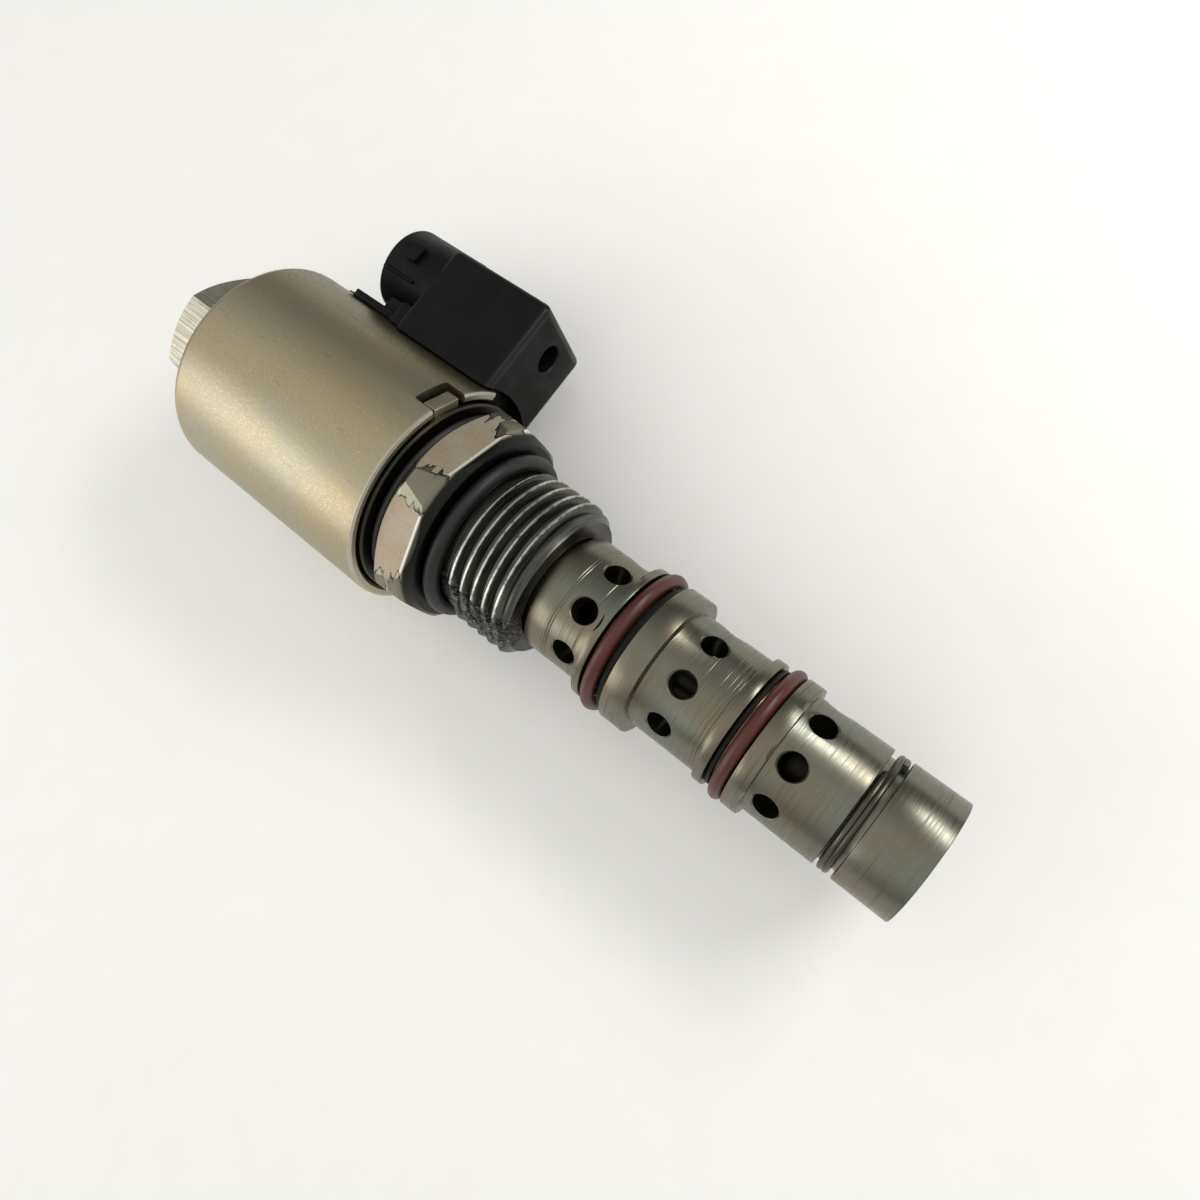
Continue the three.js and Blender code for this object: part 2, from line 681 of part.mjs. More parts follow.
const valve = new THREE.Group();
valve.add(
  piece("hex_body", makeHexBody(), "darkSteel"),
  piece("seat_seal", sealRing(SEAT_SEAL_SECTION / 2 + PRESS_GAP, seatSealRadius,
    SEAT_SEAL_SECTION), "blackRubber"),
  piece("cage", makeCage(), "groundSteel"),
  piece("cage_seal_1", sealRing(seal1Centre, seal1Radius, SEAL_SECTION), "brownRubber"),
  piece("backup_ring_1", sleeveRing(backup1Start, backup1Start + BACKUP_LENGTH,
    groove1Radius + PRESS_GAP, LAND_1.radius - 0.4), "blackPlastic"),
  piece("cage_seal_2", sealRing(seal2Centre, seal2Radius, SEAL_SECTION), "brownRubber"),
  piece("backup_ring_2", sleeveRing(backup2Start, backup2Start + BACKUP_LENGTH * 0.7,
    groove2Radius + PRESS_GAP, lip2Radius - 0.3), "palePlastic"),
  piece("lock_wire", makeWireRing(), "brightSteel"),
  piece("nose_plug", makeNosePlug(), "groundSteel"),
  piece("armature_tube", sleeveRing(tubeRear, tubeFront, tubeBore, TUBE_RADIUS,
    INNER_SEGMENTS), "brightSteel"),
  piece("pole_piece", makePole(), "darkSteel"),
  piece("tube_end", makeTubeEnd(), "brightSteel"),
  piece("coil_nut", makeCoilNut(), "brightSteel"),
  piece("nut_seal", sealRing(canRear - PRESS_GAP - NUT_SEAL_SECTION / 2, nutSealRadius,
    NUT_SEAL_SECTION), "blackRubber"),
  piece("coil_seal", sealRing(hexRear - PRESS_GAP - COIL_SEAL_SECTION / 2, coilSealRadius,
    COIL_SEAL_SECTION), "blackRubber"),
);

const spoolGroup = new THREE.Group();
spoolGroup.add(
  piece("spool", makeSpool(), "groundSteel"),
  piece("return_spring", makeReturnSpring(), "brightSteel"),
);

const armatureGroup = new THREE.Group();
armatureGroup.add(
  piece("armature", makeArmature(), "darkSteel"),
  piece("push_pin", rod(pinRear, pinFront, PIN_RADIUS, 16), "brightSteel"),
);

const coil = new THREE.Group();
coil.add(
  piece("coil_can", makeCan(), "platedSteel"),
  piece("flux_plate", makeFluxPlate(), "darkSteel"),
  piece("bobbin", makeBobbin(), "palePlastic"),
  piece("winding", makeWinding(), "copper"),
  piece("connector", makeConnector(), "blackPlastic"),
  piece("terminal_1", terminalSolid(-1, 0), "tin"),
  piece("terminal_2", terminalSolid(1, 0), "tin"),
);

const group = new THREE.Group();
group.add(valve, spoolGroup, armatureGroup, coil);
export default group;
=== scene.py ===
import math

import bpy
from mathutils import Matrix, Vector


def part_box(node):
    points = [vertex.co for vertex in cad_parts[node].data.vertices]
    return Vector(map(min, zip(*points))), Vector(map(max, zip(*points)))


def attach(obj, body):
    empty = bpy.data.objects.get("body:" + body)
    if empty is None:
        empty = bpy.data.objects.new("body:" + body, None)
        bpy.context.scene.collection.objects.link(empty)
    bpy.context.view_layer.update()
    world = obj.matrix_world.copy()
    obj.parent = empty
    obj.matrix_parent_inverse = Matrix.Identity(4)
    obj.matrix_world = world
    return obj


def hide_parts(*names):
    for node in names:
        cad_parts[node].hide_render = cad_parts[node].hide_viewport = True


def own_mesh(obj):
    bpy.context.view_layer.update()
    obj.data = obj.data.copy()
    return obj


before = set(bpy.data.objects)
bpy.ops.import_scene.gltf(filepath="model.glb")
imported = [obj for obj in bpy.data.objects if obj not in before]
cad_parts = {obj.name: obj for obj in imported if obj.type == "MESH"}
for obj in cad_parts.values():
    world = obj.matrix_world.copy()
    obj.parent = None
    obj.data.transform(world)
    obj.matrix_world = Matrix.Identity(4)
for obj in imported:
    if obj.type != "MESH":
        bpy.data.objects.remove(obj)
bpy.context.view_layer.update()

# Screw-in solenoid cartridge valve. The valve's axis is X with the nose towards +X, the
# connector stands out towards +Y, and the origin is the centre of the hexagon's seat face.
# Sizes are in millimetres and become metres where a mesh is made.
MM = 0.001

# Camera and floor
CAMERA_PLACE = (0.05639, -0.00464, 0.10942)
CAMERA_TURN = (14.386, 13.281, 38.776)  # degrees about X, Y and Z
CAMERA_LENS = 27.8  # mm
SENSOR_WIDTH = 36  # mm
NEAREST_SEEN = 0.002  # m
FLOOR_SIZE = 3.0  # m

# Fineness of round surfaces, in sides or steps to a full turn
SIDES = 160
SMALL_SIDES = 96
SEAL_SIDES = 144
CAN_SIDES = 192
BARREL_SIDES = 90
VENT_SIDES = 48
DRILL_SIDES = 40
COIL_STEPS = 72
THREAD_STEPS = 96
WIRE_SIDES = 12
SMOOTH_ANGLE = 23  # degrees; edges sharper than this stay crisp
EDGE_ANGLE = 30  # degrees; edges sharper than this are rounded on a block
TURNED_EDGE = 0.1  # mm that a turned edge is eased by


def add_camera():
    turn = [math.radians(value) for value in CAMERA_TURN]
    bpy.ops.object.camera_add(location=CAMERA_PLACE, rotation=turn)
    camera = bpy.context.object
    camera.data.lens = CAMERA_LENS
    camera.data.sensor_width = SENSOR_WIDTH
    camera.data.clip_start = NEAREST_SEEN
    bpy.context.scene.camera = camera


add_camera()


# ---------------------------------------------------------------- materials


def linear(colour):
    """An sRGB hex colour as linear values, opaque."""
    values = [int(colour[i:i + 2], 16) / 255 for i in (1, 3, 5)]
    return [
        v / 12.92 if v <= 0.04045 else ((v + 0.055) / 1.055) ** 2.4 for v in values
    ] + [1.0]


def add_node(tree, kind, inputs=None, stops=None, **settings):
    """Adds a shader node. An input is a value, or another node's socket to link."""
    node = tree.nodes.new("ShaderNode" + kind)
    for name, value in settings.items():
        setattr(node, name, value)
    for name, value in (inputs or {}).items():
        if isinstance(value, bpy.types.NodeSocket):
            tree.links.new(value, node.inputs[name])
        else:
            node.inputs[name].default_value = value
    for i, (place, colour) in enumerate(stops or []):
        steps = node.color_ramp.elements
        step = steps[i] if i < len(steps) else steps.new(place)
        step.position = place
        step.color = colour
    return node


def new_finish(name, metallic, **constants):
    """A material with its shader, and its object coordinates for the patterns."""
    material = bpy.data.materials.new(name)
    material.use_nodes = True
    tree = material.node_tree
    shader = tree.nodes["Principled BSDF"]
    shader.inputs["Metallic"].default_value = metallic
    for socket, value in constants.items():
        shader.inputs[socket.replace("_", " ")].default_value = value
    place = add_node(tree, "TexCoord").outputs["Object"]
    return material, tree, shader, place


def grain(tree, place, sizes, detail=3.0, distortion=0.0, seed=0.0):
    """Noise whose blotches measure sizes, in mm, along X, Y and Z."""
    scale = [1000 / size for size in sizes]
    mapped = add_node(tree, "Mapping", {
        "Vector": place, "Scale": scale, "Location": (seed, seed * 0.7, seed * 0.3)})
    noise = add_node(tree, "TexNoise", {
        "Vector": mapped.outputs[0], "Scale": 1.0, "Detail": detail,
        "Roughness": 0.55, "Distortion": distortion})
    return noise.outputs[0]


def ramp(tree, value, low, high, start=0.0, end=1.0):
    """value carried from low..high to start..end, held at both ends."""
    return add_node(tree, "MapRange", {
        "Value": value, "From Min": low, "From Max": high,
        "To Min": start, "To Max": end}).outputs[0]


def blend_colours(tree, factor, first, second):
    sockets = {0: factor, 6: first, 7: second}
    return add_node(tree, "Mix", sockets, data_type="RGBA").outputs[2]


def raise_bump(tree, height, depth, under=None):
    """A bump of that depth, in mm, on top of another bump."""
    sockets = {"Height": height, "Strength": 1.0, "Distance": depth * MM}
    if under is not None:
        sockets["Normal"] = under
    return add_node(tree, "Bump", sockets).outputs[0]


def calc(tree, operation, first, second=0.0):
    return add_node(tree, "Math", {0: first, 1: second}, operation=operation).outputs[0]


def axis_polar(tree, place):
    """Distance along the valve's axis, distance from it and angle round it."""
    along, across, upward = add_node(tree, "SeparateXYZ", {0: place}).outputs
    squares = calc(tree, "ADD", calc(tree, "POWER", across, 2.0),
                   calc(tree, "POWER", upward, 2.0))
    return along, calc(tree, "SQRT", squares), calc(tree, "ARCTAN2", upward, across)


def turned_steel(name, colour, tint, dark, roughness):
    """Steel finished on a lathe: fine rings round the axis that catch the light, broken
    up round the turn, with a warm tint in patches and a few small marks."""
    material, tree, shader, place = new_finish(name, 1.0)
    line, depth = 0.16, 0.006
    rings = grain(tree, place, (line, 9, 9), detail=4)
    fine = grain(tree, place, (0.07, 3, 3), detail=2, seed=4)
    patch = grain(tree, place, (9, 7, 7), detail=3, seed=2)
    marks = grain(tree, place, (0.5, 0.5, 0.5), detail=2, seed=7)
    base = blend_colours(tree, ramp(tree, patch, 0.38, 0.62), linear(colour), linear(tint))
    lined = blend_colours(tree, ramp(tree, rings, 0.56, 0.72, 0, 0.45), base,
                          linear(dark))
    spotted = blend_colours(tree, ramp(tree, marks, 0.71, 0.78, 0, 0.5), lined,
                            linear(dark))
    tree.links.new(spotted, shader.inputs["Base Color"])
    rough = ramp(tree, rings, 0.3, 0.7, roughness - 0.06, roughness + 0.1)
    tree.links.new(rough, shader.inputs["Roughness"])
    low = raise_bump(tree, rings, depth)
    tree.links.new(raise_bump(tree, fine, depth * 0.3, low), shader.inputs["Normal"])
    return material


def plated_can():
    """Zinc-nickel plate on drawn steel: satin olive gold with pale crystal specks, painted
    paler than the plate as glints of sparkle, soft cloudy tint, faint scuffs from handling,
    painted shade and dark reflection beside the connector and round the rear edge, and a
    painted highlight along the rim."""
    material, tree, shader, place = new_finish("zinc_nickel_plated_steel", 1.0)
    cloud = grain(tree, place, (13, 9, 9), detail=2, seed=3)
    speck = grain(tree, place, (0.22, 0.22, 0.22), detail=2, seed=1)
    scuff = grain(tree, place, (5, 0.5, 0.5), detail=3, distortion=0.6, seed=9)
    base = blend_colours(tree, ramp(tree, cloud, 0.35, 0.65), linear("#A29C86"),
                         linear("#A99B7C"))
    # pale specks over the crystal grain: its own tone, painted paler as glints of sparkle
    with_painted_glints = blend_colours(tree, ramp(tree, speck, 0.58, 0.72, 0, 0.5), base,
                           linear("#CBC9BD"))
    mixed_tone = blend_colours(tree, ramp(tree, scuff, 0.66, 0.74, 0, 0.25), with_painted_glints,
                         linear("#565242"))
    along, _, angle = axis_polar(tree, place)
    rear, front = span("coil_can")
    # painted shade and dark reflection on the side towards the connector, speckled
    near = ramp(tree, calc(tree, "ABSOLUTE", angle), 0.45, 1.0, 0.6, 0.0)
    connector_side_shade = calc(tree, "MULTIPLY", near, ramp(tree, speck, 0.3, 0.7, 1.2, 0.7))
    # a dark band round the rear edge: painted dark reflection of the rounded edge
    edge = ramp(tree, along, (rear + 0.2) * MM, (rear + 1.1) * MM, 0.6, 0.0)
    mixed_tone = blend_colours(tree, calc(tree, "MAXIMUM", connector_side_shade, edge), mixed_tone,
                         linear("#3B382C"))
    # a pale band along the front rim: painted highlight
    rim = ramp(tree, along, (front - 0.5) * MM, (front - 0.25) * MM, 0, 0.4)
    mixed_tone = blend_colours(tree, rim, mixed_tone, linear("#D6D4CB"))
    tree.links.new(mixed_tone, shader.inputs["Base Color"])
    rough = ramp(tree, speck, 0.3, 0.7, 0.46, 0.34)
    tree.links.new(rough, shader.inputs["Roughness"])
    low = raise_bump(tree, speck, 0.012)
    tree.links.new(raise_bump(tree, scuff, 0.008, low), shader.inputs["Normal"])
    return material


def hexagon_steel():
    """Bar-stock hexagon with turned corners: pale matt flats whose torn borders run out
    over the smooth, darker corners like fingers, each with a thin painted shadow and a
    painted highlight on its burr, and a painted highlight along the flats' front edge. The
    shoulder behind them is bright, and the front chamfer and seat face are darker."""
    material, tree, shader, place = new_finish("hexagon_bar_steel", 1.0)
    along, _, angle = axis_polar(tree, place)
    rear = span("hex_body")[0]
    half_flat = math.radians(30)
    turn = calc(tree, "SUBTRACT", angle, math.radians(FLAT_ANGLE))
    sector = add_node(tree, "Math", {0: turn, 1: half_flat, 2: -half_flat},
                      operation="WRAP").outputs[0]
    spread = calc(tree, "ABSOLUTE", sector)
    finger = grain(tree, place, (2.0, 11, 11), detail=2, distortion=0.5, seed=5)
    torn = grain(tree, place, (0.6, 1.4, 1.4), detail=3, seed=6)
    reach = ramp(tree, along, -6.5 * MM, -1.5 * MM, math.radians(29), math.radians(20))
    reach = calc(tree, "ADD", reach, ramp(tree, finger, 0.3, 0.7, -0.2, 0.15))
    reach = calc(tree, "ADD", reach, ramp(tree, torn, 0.3, 0.7, -0.035, 0.035))
    inside = calc(tree, "SUBTRACT", reach, spread)
    flat = ramp(tree, inside, -0.004, 0.006)
    shadow = ramp(tree, inside, -0.05, -0.008)
    pits = grain(tree, place, (0.18, 0.18, 0.18), detail=2, seed=8)
    stain = grain(tree, place, (4, 3, 3), detail=2, seed=11)
    pale = blend_colours(tree, ramp(tree, stain, 0.4, 0.6), linear("#B4AB9C"),
                         linear("#B3A590"))
    pale = blend_colours(tree, ramp(tree, pits, 0.6, 0.72, 0, 0.6), pale, linear("#534C41"))
    turned = blend_colours(tree, shadow, linear("#7E7B6D"), linear("#26221C"))
    # the front chamfer and seat face are darker
    face = ramp(tree, along, -1.2 * MM, -0.9 * MM)
    turned = blend_colours(tree, face, turned, linear("#292927"))
    # bright lines along the flats' front edge and inside their torn borders: painted
    # highlights
    arris_highlight = calc(tree, "MULTIPLY", ramp(tree, along, -1.55 * MM, -1.4 * MM),
                 ramp(tree, along, -1.2 * MM, -1.1 * MM, 1.0, 0.0))
    burr_highlight = calc(tree, "MULTIPLY", ramp(tree, inside, 0.003, 0.012, 1.0, 0.0), 0.6)
    pale = blend_colours(tree, calc(tree, "MAXIMUM", arris_highlight, burr_highlight), pale,
                         linear("#E4E1D8"))
    shoulder = ramp(tree, along, (rear + 1.1) * MM, (rear + 1.3) * MM, 1.0, 0.0)
    turned = blend_colours(tree, shoulder, turned, linear("#9B978A"))
    flat = calc(tree, "MULTIPLY", flat, calc(tree, "SUBTRACT", 1.0, face))
    tree.links.new(blend_colours(tree, flat, turned, pale), shader.inputs["Base Color"])
    tree.links.new(ramp(tree, flat, 0, 1, 0.34, 0.68), shader.inputs["Roughness"])
    low = raise_bump(tree, flat, 0.05)
    rings = grain(tree, place, (0.14, 7, 7), detail=3, seed=12)
    low = raise_bump(tree, rings, 0.004, low)
    tree.links.new(raise_bump(tree, pits, 0.012, low), shader.inputs["Normal"])
    return material


def thread_steel():
    """Cut thread in phosphated steel: dark grey flanks, a painted highlight along the
    crests, and a ragged scar where the crests were knocked down, painted near black as
    shade."""
    material, tree, shader, place = new_finish("phosphated_thread_steel", 1.0)
    _, radius, angle = axis_polar(tree, place)
    border_noise = grain(tree, place, (0.8, 0.8, 0.8), detail=3, seed=1)
    # a thin bright band painted on the crests: painted highlight
    crest = calc(tree, "ADD", radius, ramp(tree, border_noise, 0.3, 0.7, -0.09 * MM, 0.09 * MM))
    crest_highlight = ramp(tree, crest, (THREAD_RADIUS - 0.13) * MM, (THREAD_RADIUS - 0.01) * MM)
    lines = grain(tree, place, (0.12, 5, 5), detail=3, seed=2)
    dark = blend_colours(tree, ramp(tree, lines, 0.35, 0.65), linear("#3F3F3C"),
                         linear("#686762"))
    colour = blend_colours(tree, crest_highlight, dark, linear("#BDBCB5"))
    gap = calc(tree, "ABSOLUTE", calc(tree, "SUBTRACT", angle, math.radians(TORN_ANGLE)))
    torn = ramp(tree, calc(tree, "ADD", gap, ramp(tree, border_noise, 0.3, 0.7, -0.06, 0.06)),
                0.30, 0.36, 1.0, 0.0)
    ragged = grain(tree, place, (1.1, 0.35, 0.35), detail=4, distortion=0.8, seed=6)
    # the knocked-down strip is painted near black as shade, flecked with paler torn metal
    scar_and_shade = blend_colours(tree, ramp(tree, ragged, 0.5, 0.66), linear("#1A1A1B"),
                         linear("#8D8C86"))
    tree.links.new(blend_colours(tree, torn, colour, scar_and_shade), shader.inputs["Base Color"])
    tree.links.new(ramp(tree, lines, 0.3, 0.7, 0.28, 0.42), shader.inputs["Roughness"])
    low = raise_bump(tree, calc(tree, "MULTIPLY", ragged, torn), 0.25)
    tree.links.new(raise_bump(tree, lines, 0.008, low), shader.inputs["Normal"])
    return material


def drawn_steel(name, colour, dark, roughness, size=0.28):
    """Cold-drawn bar: long fine lines that run with the axis."""
    material, tree, shader, place = new_finish(name, 1.0)
    lines = grain(tree, place, (14, size, size), detail=4, seed=3)
    cloud = grain(tree, place, (3, 2, 2), detail=2, seed=5)
    base = blend_colours(tree, ramp(tree, lines, 0.42, 0.66, 0, 0.8), linear(colour),
                         linear(dark))
    base = blend_colours(tree, ramp(tree, cloud, 0.4, 0.7, 0, 0.3), base, linear(dark))
    tree.links.new(base, shader.inputs["Base Color"])
    rough = ramp(tree, lines, 0.3, 0.7, roughness - 0.06, roughness + 0.1)
    tree.links.new(rough, shader.inputs["Roughness"])
    tree.links.new(raise_bump(tree, lines, 0.02), shader.inputs["Normal"])
    return material


def moulded(name, colour, mixed_tone, roughness, size=0.3, depth=0.01, specular=0.5):
    """Moulded polymer: a fine spark-eroded skin with rubbed, slightly paler patches."""
    material, tree, shader, place = new_finish(name, 0.0, IOR=1.5,
                                               Specular_IOR_Level=specular)
    skin = grain(tree, place, (size, size, size), detail=3, seed=2)
    rub = grain(tree, place, (4, 4, 4), detail=4, distortion=0.5, seed=6)
    base = blend_colours(tree, ramp(tree, rub, 0.5, 0.75, 0, 0.5), linear(colour),
                         linear(mixed_tone))
    tree.links.new(base, shader.inputs["Base Color"])
    tree.links.new(ramp(tree, rub, 0.35, 0.7, roughness + 0.06, roughness - 0.08),
                   shader.inputs["Roughness"])
    tree.links.new(raise_bump(tree, skin, depth), shader.inputs["Normal"])
    return material


WINDING_WIRE = 0.35


def copper_winding():
    """Enamelled copper wire in close turns: a painted highlight and shade for each turn."""
    material, tree, shader, place = new_finish("enamelled_copper_wire", 1.0)
    along = axis_polar(tree, place)[0]
    turns = calc(tree, "SINE", calc(tree, "MULTIPLY", along,
                                    math.tau / (WINDING_WIRE * MM)))
    # paler on each turn's crown, darker where turns meet: painted highlight and shade
    shade = blend_colours(tree, ramp(tree, turns, -1, 1), linear("#7A3B1E"),
                          linear("#C8763F"))
    tree.links.new(shade, shader.inputs["Base Color"])
    shader.inputs["Roughness"].default_value = 0.3
    tree.links.new(raise_bump(tree, turns, 0.06), shader.inputs["Normal"])
    return material


def pale_floor():
    """Matt board: almost white, with the faintest tooth."""
    material, tree, shader, place = new_finish("matt_white_board", 0.0, Roughness=0.85)
    tooth = grain(tree, place, (6, 6, 6), detail=2)
    shade = blend_colours(tree, tooth, linear("#F6F5F3"), linear("#FAF9F8"))
    tree.links.new(shade, shader.inputs["Base Color"])
    return material


# ---------------------------------------------------------------- modelling


def span(node):
    """Where a solid of the frame starts and ends along the axis."""
    low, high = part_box(node)
    return low.x / MM, high.x / MM


def reach_of(node):
    """How far a round solid of the frame stands out from the axis."""
    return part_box(node)[1].z / MM


def take(piece):
    bpy.ops.object.select_all(action="DESELECT")
    piece.select_set(True)
    bpy.context.view_layer.objects.active = piece


def settle(piece):
    """Puts the piece's place and turn into its mesh."""
    take(piece)
    bpy.ops.object.transform_apply(location=True, rotation=True, scale=True)
    return piece


def edit(piece, kind="VERT"):
    take(piece)
    bpy.ops.object.mode_set(mode="EDIT")
    bpy.ops.mesh.select_mode(type=kind)
    bpy.ops.mesh.select_all(action="SELECT")


def leave():
    bpy.ops.object.mode_set(mode="OBJECT")


def choose(piece, kind, test):
    """Selects the edges or faces whose corners all pass test, given places in mm."""
    edit(piece, kind)
    bpy.ops.mesh.select_all(action="DESELECT")
    leave()
    corners = [vertex.co / MM for vertex in piece.data.vertices]
    parts = piece.data.edges if kind == "EDGE" else piece.data.polygons
    for part in parts:
        part.select = all(test(corners[i]) for i in part.vertices)
    bpy.ops.object.mode_set(mode="EDIT")


def modify(piece, kind, **settings):
    take(piece)
    modifier = piece.modifiers.new(kind.title(), kind)
    for name, value in settings.items():
        setattr(modifier, name, value)
    bpy.ops.object.modifier_apply(modifier=modifier.name)
    return piece


def soften(piece, width, segments=2):
    """Rounds every edge sharper than EDGE_ANGLE."""
    return modify(piece, "BEVEL", width=width * MM, segments=segments,
                  limit_method="ANGLE", angle_limit=math.radians(EDGE_ANGLE))


def combine(piece, tool, operation):
    modify(piece, "BOOLEAN", operation=operation, object=tool, solver="EXACT")
    bpy.data.objects.remove(tool)
    return piece


def turned(name, outline, sides=SIDES, ring=False):
    """Turns an outline of (x, radius) corners about the X axis. A ring closes on itself,
    and anything else is capped at both ends."""
    x, radius = outline[0]
    bpy.ops.mesh.primitive_circle_add(
        vertices=sides, radius=radius * MM, fill_type="NOTHING",
        location=(x * MM, 0, 0), rotation=(0, math.pi / 2, 0))
    piece = settle(bpy.context.object)
    piece.name = name
    edit(piece, "EDGE")
    for next_x, next_radius in outline[1:] + ([outline[0]] if ring else []):
        bpy.ops.mesh.extrude_edges_move(
            TRANSFORM_OT_translate={"value": ((next_x - x) * MM, 0, 0)})
        ratio = next_radius / radius
        bpy.ops.transform.resize(value=(1, ratio, ratio),
                                 center_override=(next_x * MM, 0, 0))
        x, radius = next_x, next_radius
    if ring:
        bpy.ops.mesh.select_all(action="SELECT")
        bpy.ops.mesh.remove_doubles(threshold=0.002 * MM)
    else:
        bpy.ops.mesh.edge_face_add()
        bpy.ops.mesh.select_all(action="DESELECT")
        bpy.ops.mesh.select_non_manifold()
        bpy.ops.mesh.edge_face_add()
    bpy.ops.mesh.select_all(action="SELECT")
    bpy.ops.mesh.normals_make_consistent(inside=False)
    leave()
    return piece


def spun(piece, angle):
    """Turns a piece about the X axis, by degrees from +Y towards +Z."""
    piece.rotation_euler = (math.radians(angle), 0, 0)
    return settle(piece)


def hexagon(name, start, end, across_flats, corner_angle):
    bpy.ops.mesh.primitive_cylinder_add(
        vertices=6, radius=across_flats / math.sqrt(3) * MM, depth=(end - start) * MM,
        location=((start + end) / 2 * MM, 0, 0), rotation=(0, math.pi / 2, 0))
    piece = settle(bpy.context.object)
    piece.name = name
    return spun(piece, corner_angle)


def block(name, low, high, corner=0.0):
    """A box between two corners, with its edges rounded."""
    middle = [(a + b) / 2 * MM for a, b in zip(low, high)]
    size = [(b - a) * MM for a, b in zip(low, high)]
    bpy.ops.mesh.primitive_cube_add(size=1, location=middle, scale=size)
    piece = settle(bpy.context.object)
    piece.name = name
    if corner:
        soften(piece, corner, 3)
    return piece


def arc(centre_x, centre_radius, radius, start, end, steps):
    """Corners of an arc in an outline, angles in degrees from +X."""
    corners = []
    for i in range(steps + 1):
        angle = math.radians(start + (end - start) * i / steps)
        corners.append((centre_x + radius * math.cos(angle),
                        centre_radius + radius * math.sin(angle)))
    return corners


def eased(outline, width, ring=False):
    """Rounds an outline's corners: each sharp one becomes three points of a small arc."""
    count = len(outline)
    points = []
    for i, (x, radius) in enumerate(outline):
        if not ring and i in (0, count - 1):
            points.append((x, radius))
            continue
        before, after = outline[i - 1], outline[(i + 1) % count]
        to_before = (before[0] - x, before[1] - radius)
        to_after = (after[0] - x, after[1] - radius)
        reach_before, reach_after = math.hypot(*to_before), math.hypot(*to_after)
        cosine = (to_before[0] * to_after[0] + to_before[1] * to_after[1]) / (
            reach_before * reach_after)
        if cosine < -0.75:  # too blunt a corner to need it
            points.append((x, radius))
            continue
        back = min(width, reach_before / 3, reach_after / 3)
        first = (x + to_before[0] / reach_before * back,
                 radius + to_before[1] / reach_before * back)
        last = (x + to_after[0] / reach_after * back,
                radius + to_after[1] / reach_after * back)
        pull = 0.41  # carries the middle point out to the arc
        middle = ((first[0] + last[0]) / 2 * (1 - pull) + x * pull,
                  (first[1] + last[1]) / 2 * (1 - pull) + radius * pull)
        points += [first, middle, last]
    return points


def o_ring(name, node, section):
    """Moulded seal ring with the thin flash line that the mould leaves outside."""
    start, end = span(node)
    outer = reach_of(node)
    middle = (start + end) / 2
    half_width, height = 0.05, 0.02
    flash = [(middle - half_width, outer + height), (middle + half_width, outer + height)]
    outline = arc(middle, outer - section / 2, section / 2, 82, -262, 30)
    return turned(name, flash + outline, SEAL_SIDES, ring=True)


def drills(x, radius, surface, count, angle):
    """A ring of drills that break the surface's edge with a small countersink."""
    inside_bore, countersink = 3.6, 0.06
    low, rim = inside_bore, math.sqrt(surface ** 2 - radius ** 2) - countersink
    bpy.ops.mesh.primitive_cylinder_add(
        vertices=DRILL_SIDES, radius=radius * MM, depth=(rim - low) * MM,
        location=(x * MM, (low + rim) / 2 * MM, 0), rotation=(-math.pi / 2, 0, 0))
    tool = settle(bpy.context.object)
    choose(tool, "FACE", lambda place: place.y > rim - 0.01)
    flare = 1.5
    bpy.ops.mesh.extrude_region_move(
        TRANSFORM_OT_translate={"value": (0, flare * MM, 0)})
    ratio = (radius + flare) / radius
    bpy.ops.transform.resize(value=(ratio, 1, ratio),
                             center_override=(x * MM, (rim + flare) * MM, 0))
    bpy.ops.mesh.select_all(action="SELECT")
    bpy.ops.mesh.spin(steps=count - 1, dupli=True, angle=math.tau * (count - 1) / count,
                      center=(0, 0, 0), axis=(1, 0, 0))
    bpy.ops.mesh.select_all(action="SELECT")
    bpy.ops.mesh.normals_make_consistent(inside=False)
    leave()
    return spun(tool, angle)


def coiled(name, start, angle, radius, section, pitch, turns):
    """Wire of radius section wound round the X axis, from start and angle onwards."""
    bpy.ops.mesh.primitive_circle_add(vertices=WIRE_SIDES, radius=section * MM,
                                      location=(start * MM, radius * MM, 0))
    piece = settle(bpy.context.object)
    piece.name = name
    screw(piece, pitch, turns, COIL_STEPS)
    return spun(piece, angle)


def screw(piece, pitch, turns, steps):
    """Carries a profile round the X axis, pitch mm along it in each turn, and fills the
    two ends."""
    count = int(steps * turns)
    modify(piece, "SCREW", axis="X", angle=math.tau * turns, iterations=1,
           screw_offset=pitch * turns * MM, steps=count, render_steps=count)
    edit(piece, "EDGE")
    bpy.ops.mesh.select_all(action="DESELECT")
    bpy.ops.mesh.select_non_manifold()
    bpy.ops.mesh.edge_face_add()
    bpy.ops.mesh.select_all(action="SELECT")
    bpy.ops.mesh.normals_make_consistent(inside=False)
    leave()


def show(piece, body, nodes, slot, *materials):
    """Shades the piece, says what it rides on, and hides the parts of the frame it stands
    for.
    """
    take(piece)
    bpy.ops.object.shade_smooth_by_angle(angle=math.radians(SMOOTH_ANGLE))
    piece.data.materials.clear()
    for material in materials:
        piece.data.materials.append(material)
    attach(piece, body)
    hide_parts(*nodes)
    return piece


def paint(piece, index, test):
    """Gives the faces whose middle passes test, in mm, another of the materials."""
    for face in piece.data.polygons:
        if test(face.center / MM):
            face.material_index = index


# ---------------------------------------------------------------- valve body

HEX_ACROSS_FLATS = 27.0
HEX_CORNER_ANGLE = 32.5
FLAT_ANGLE = HEX_CORNER_ANGLE + 30
THREAD_RADIUS = 11.11
THREAD_ROOT = 10.01
THREAD_PITCH = 1.814
THREAD_FIRST_CREST = 1.63  # at +Y, before the run-in is turned away
THREAD_END = span("hex_body")[1]
TORN_ANGLE = 158
TORN_START, TORN_FLOOR, TORN_TOP, TORN_HALF_WIDTH = 3.2, 10.3, 13.0, 4.1
TORN_GRAIN = 0.9
TUBE_SEAT = 5.9
CAGE_SEAT = 7.2
PIN_HOLE = 2.6


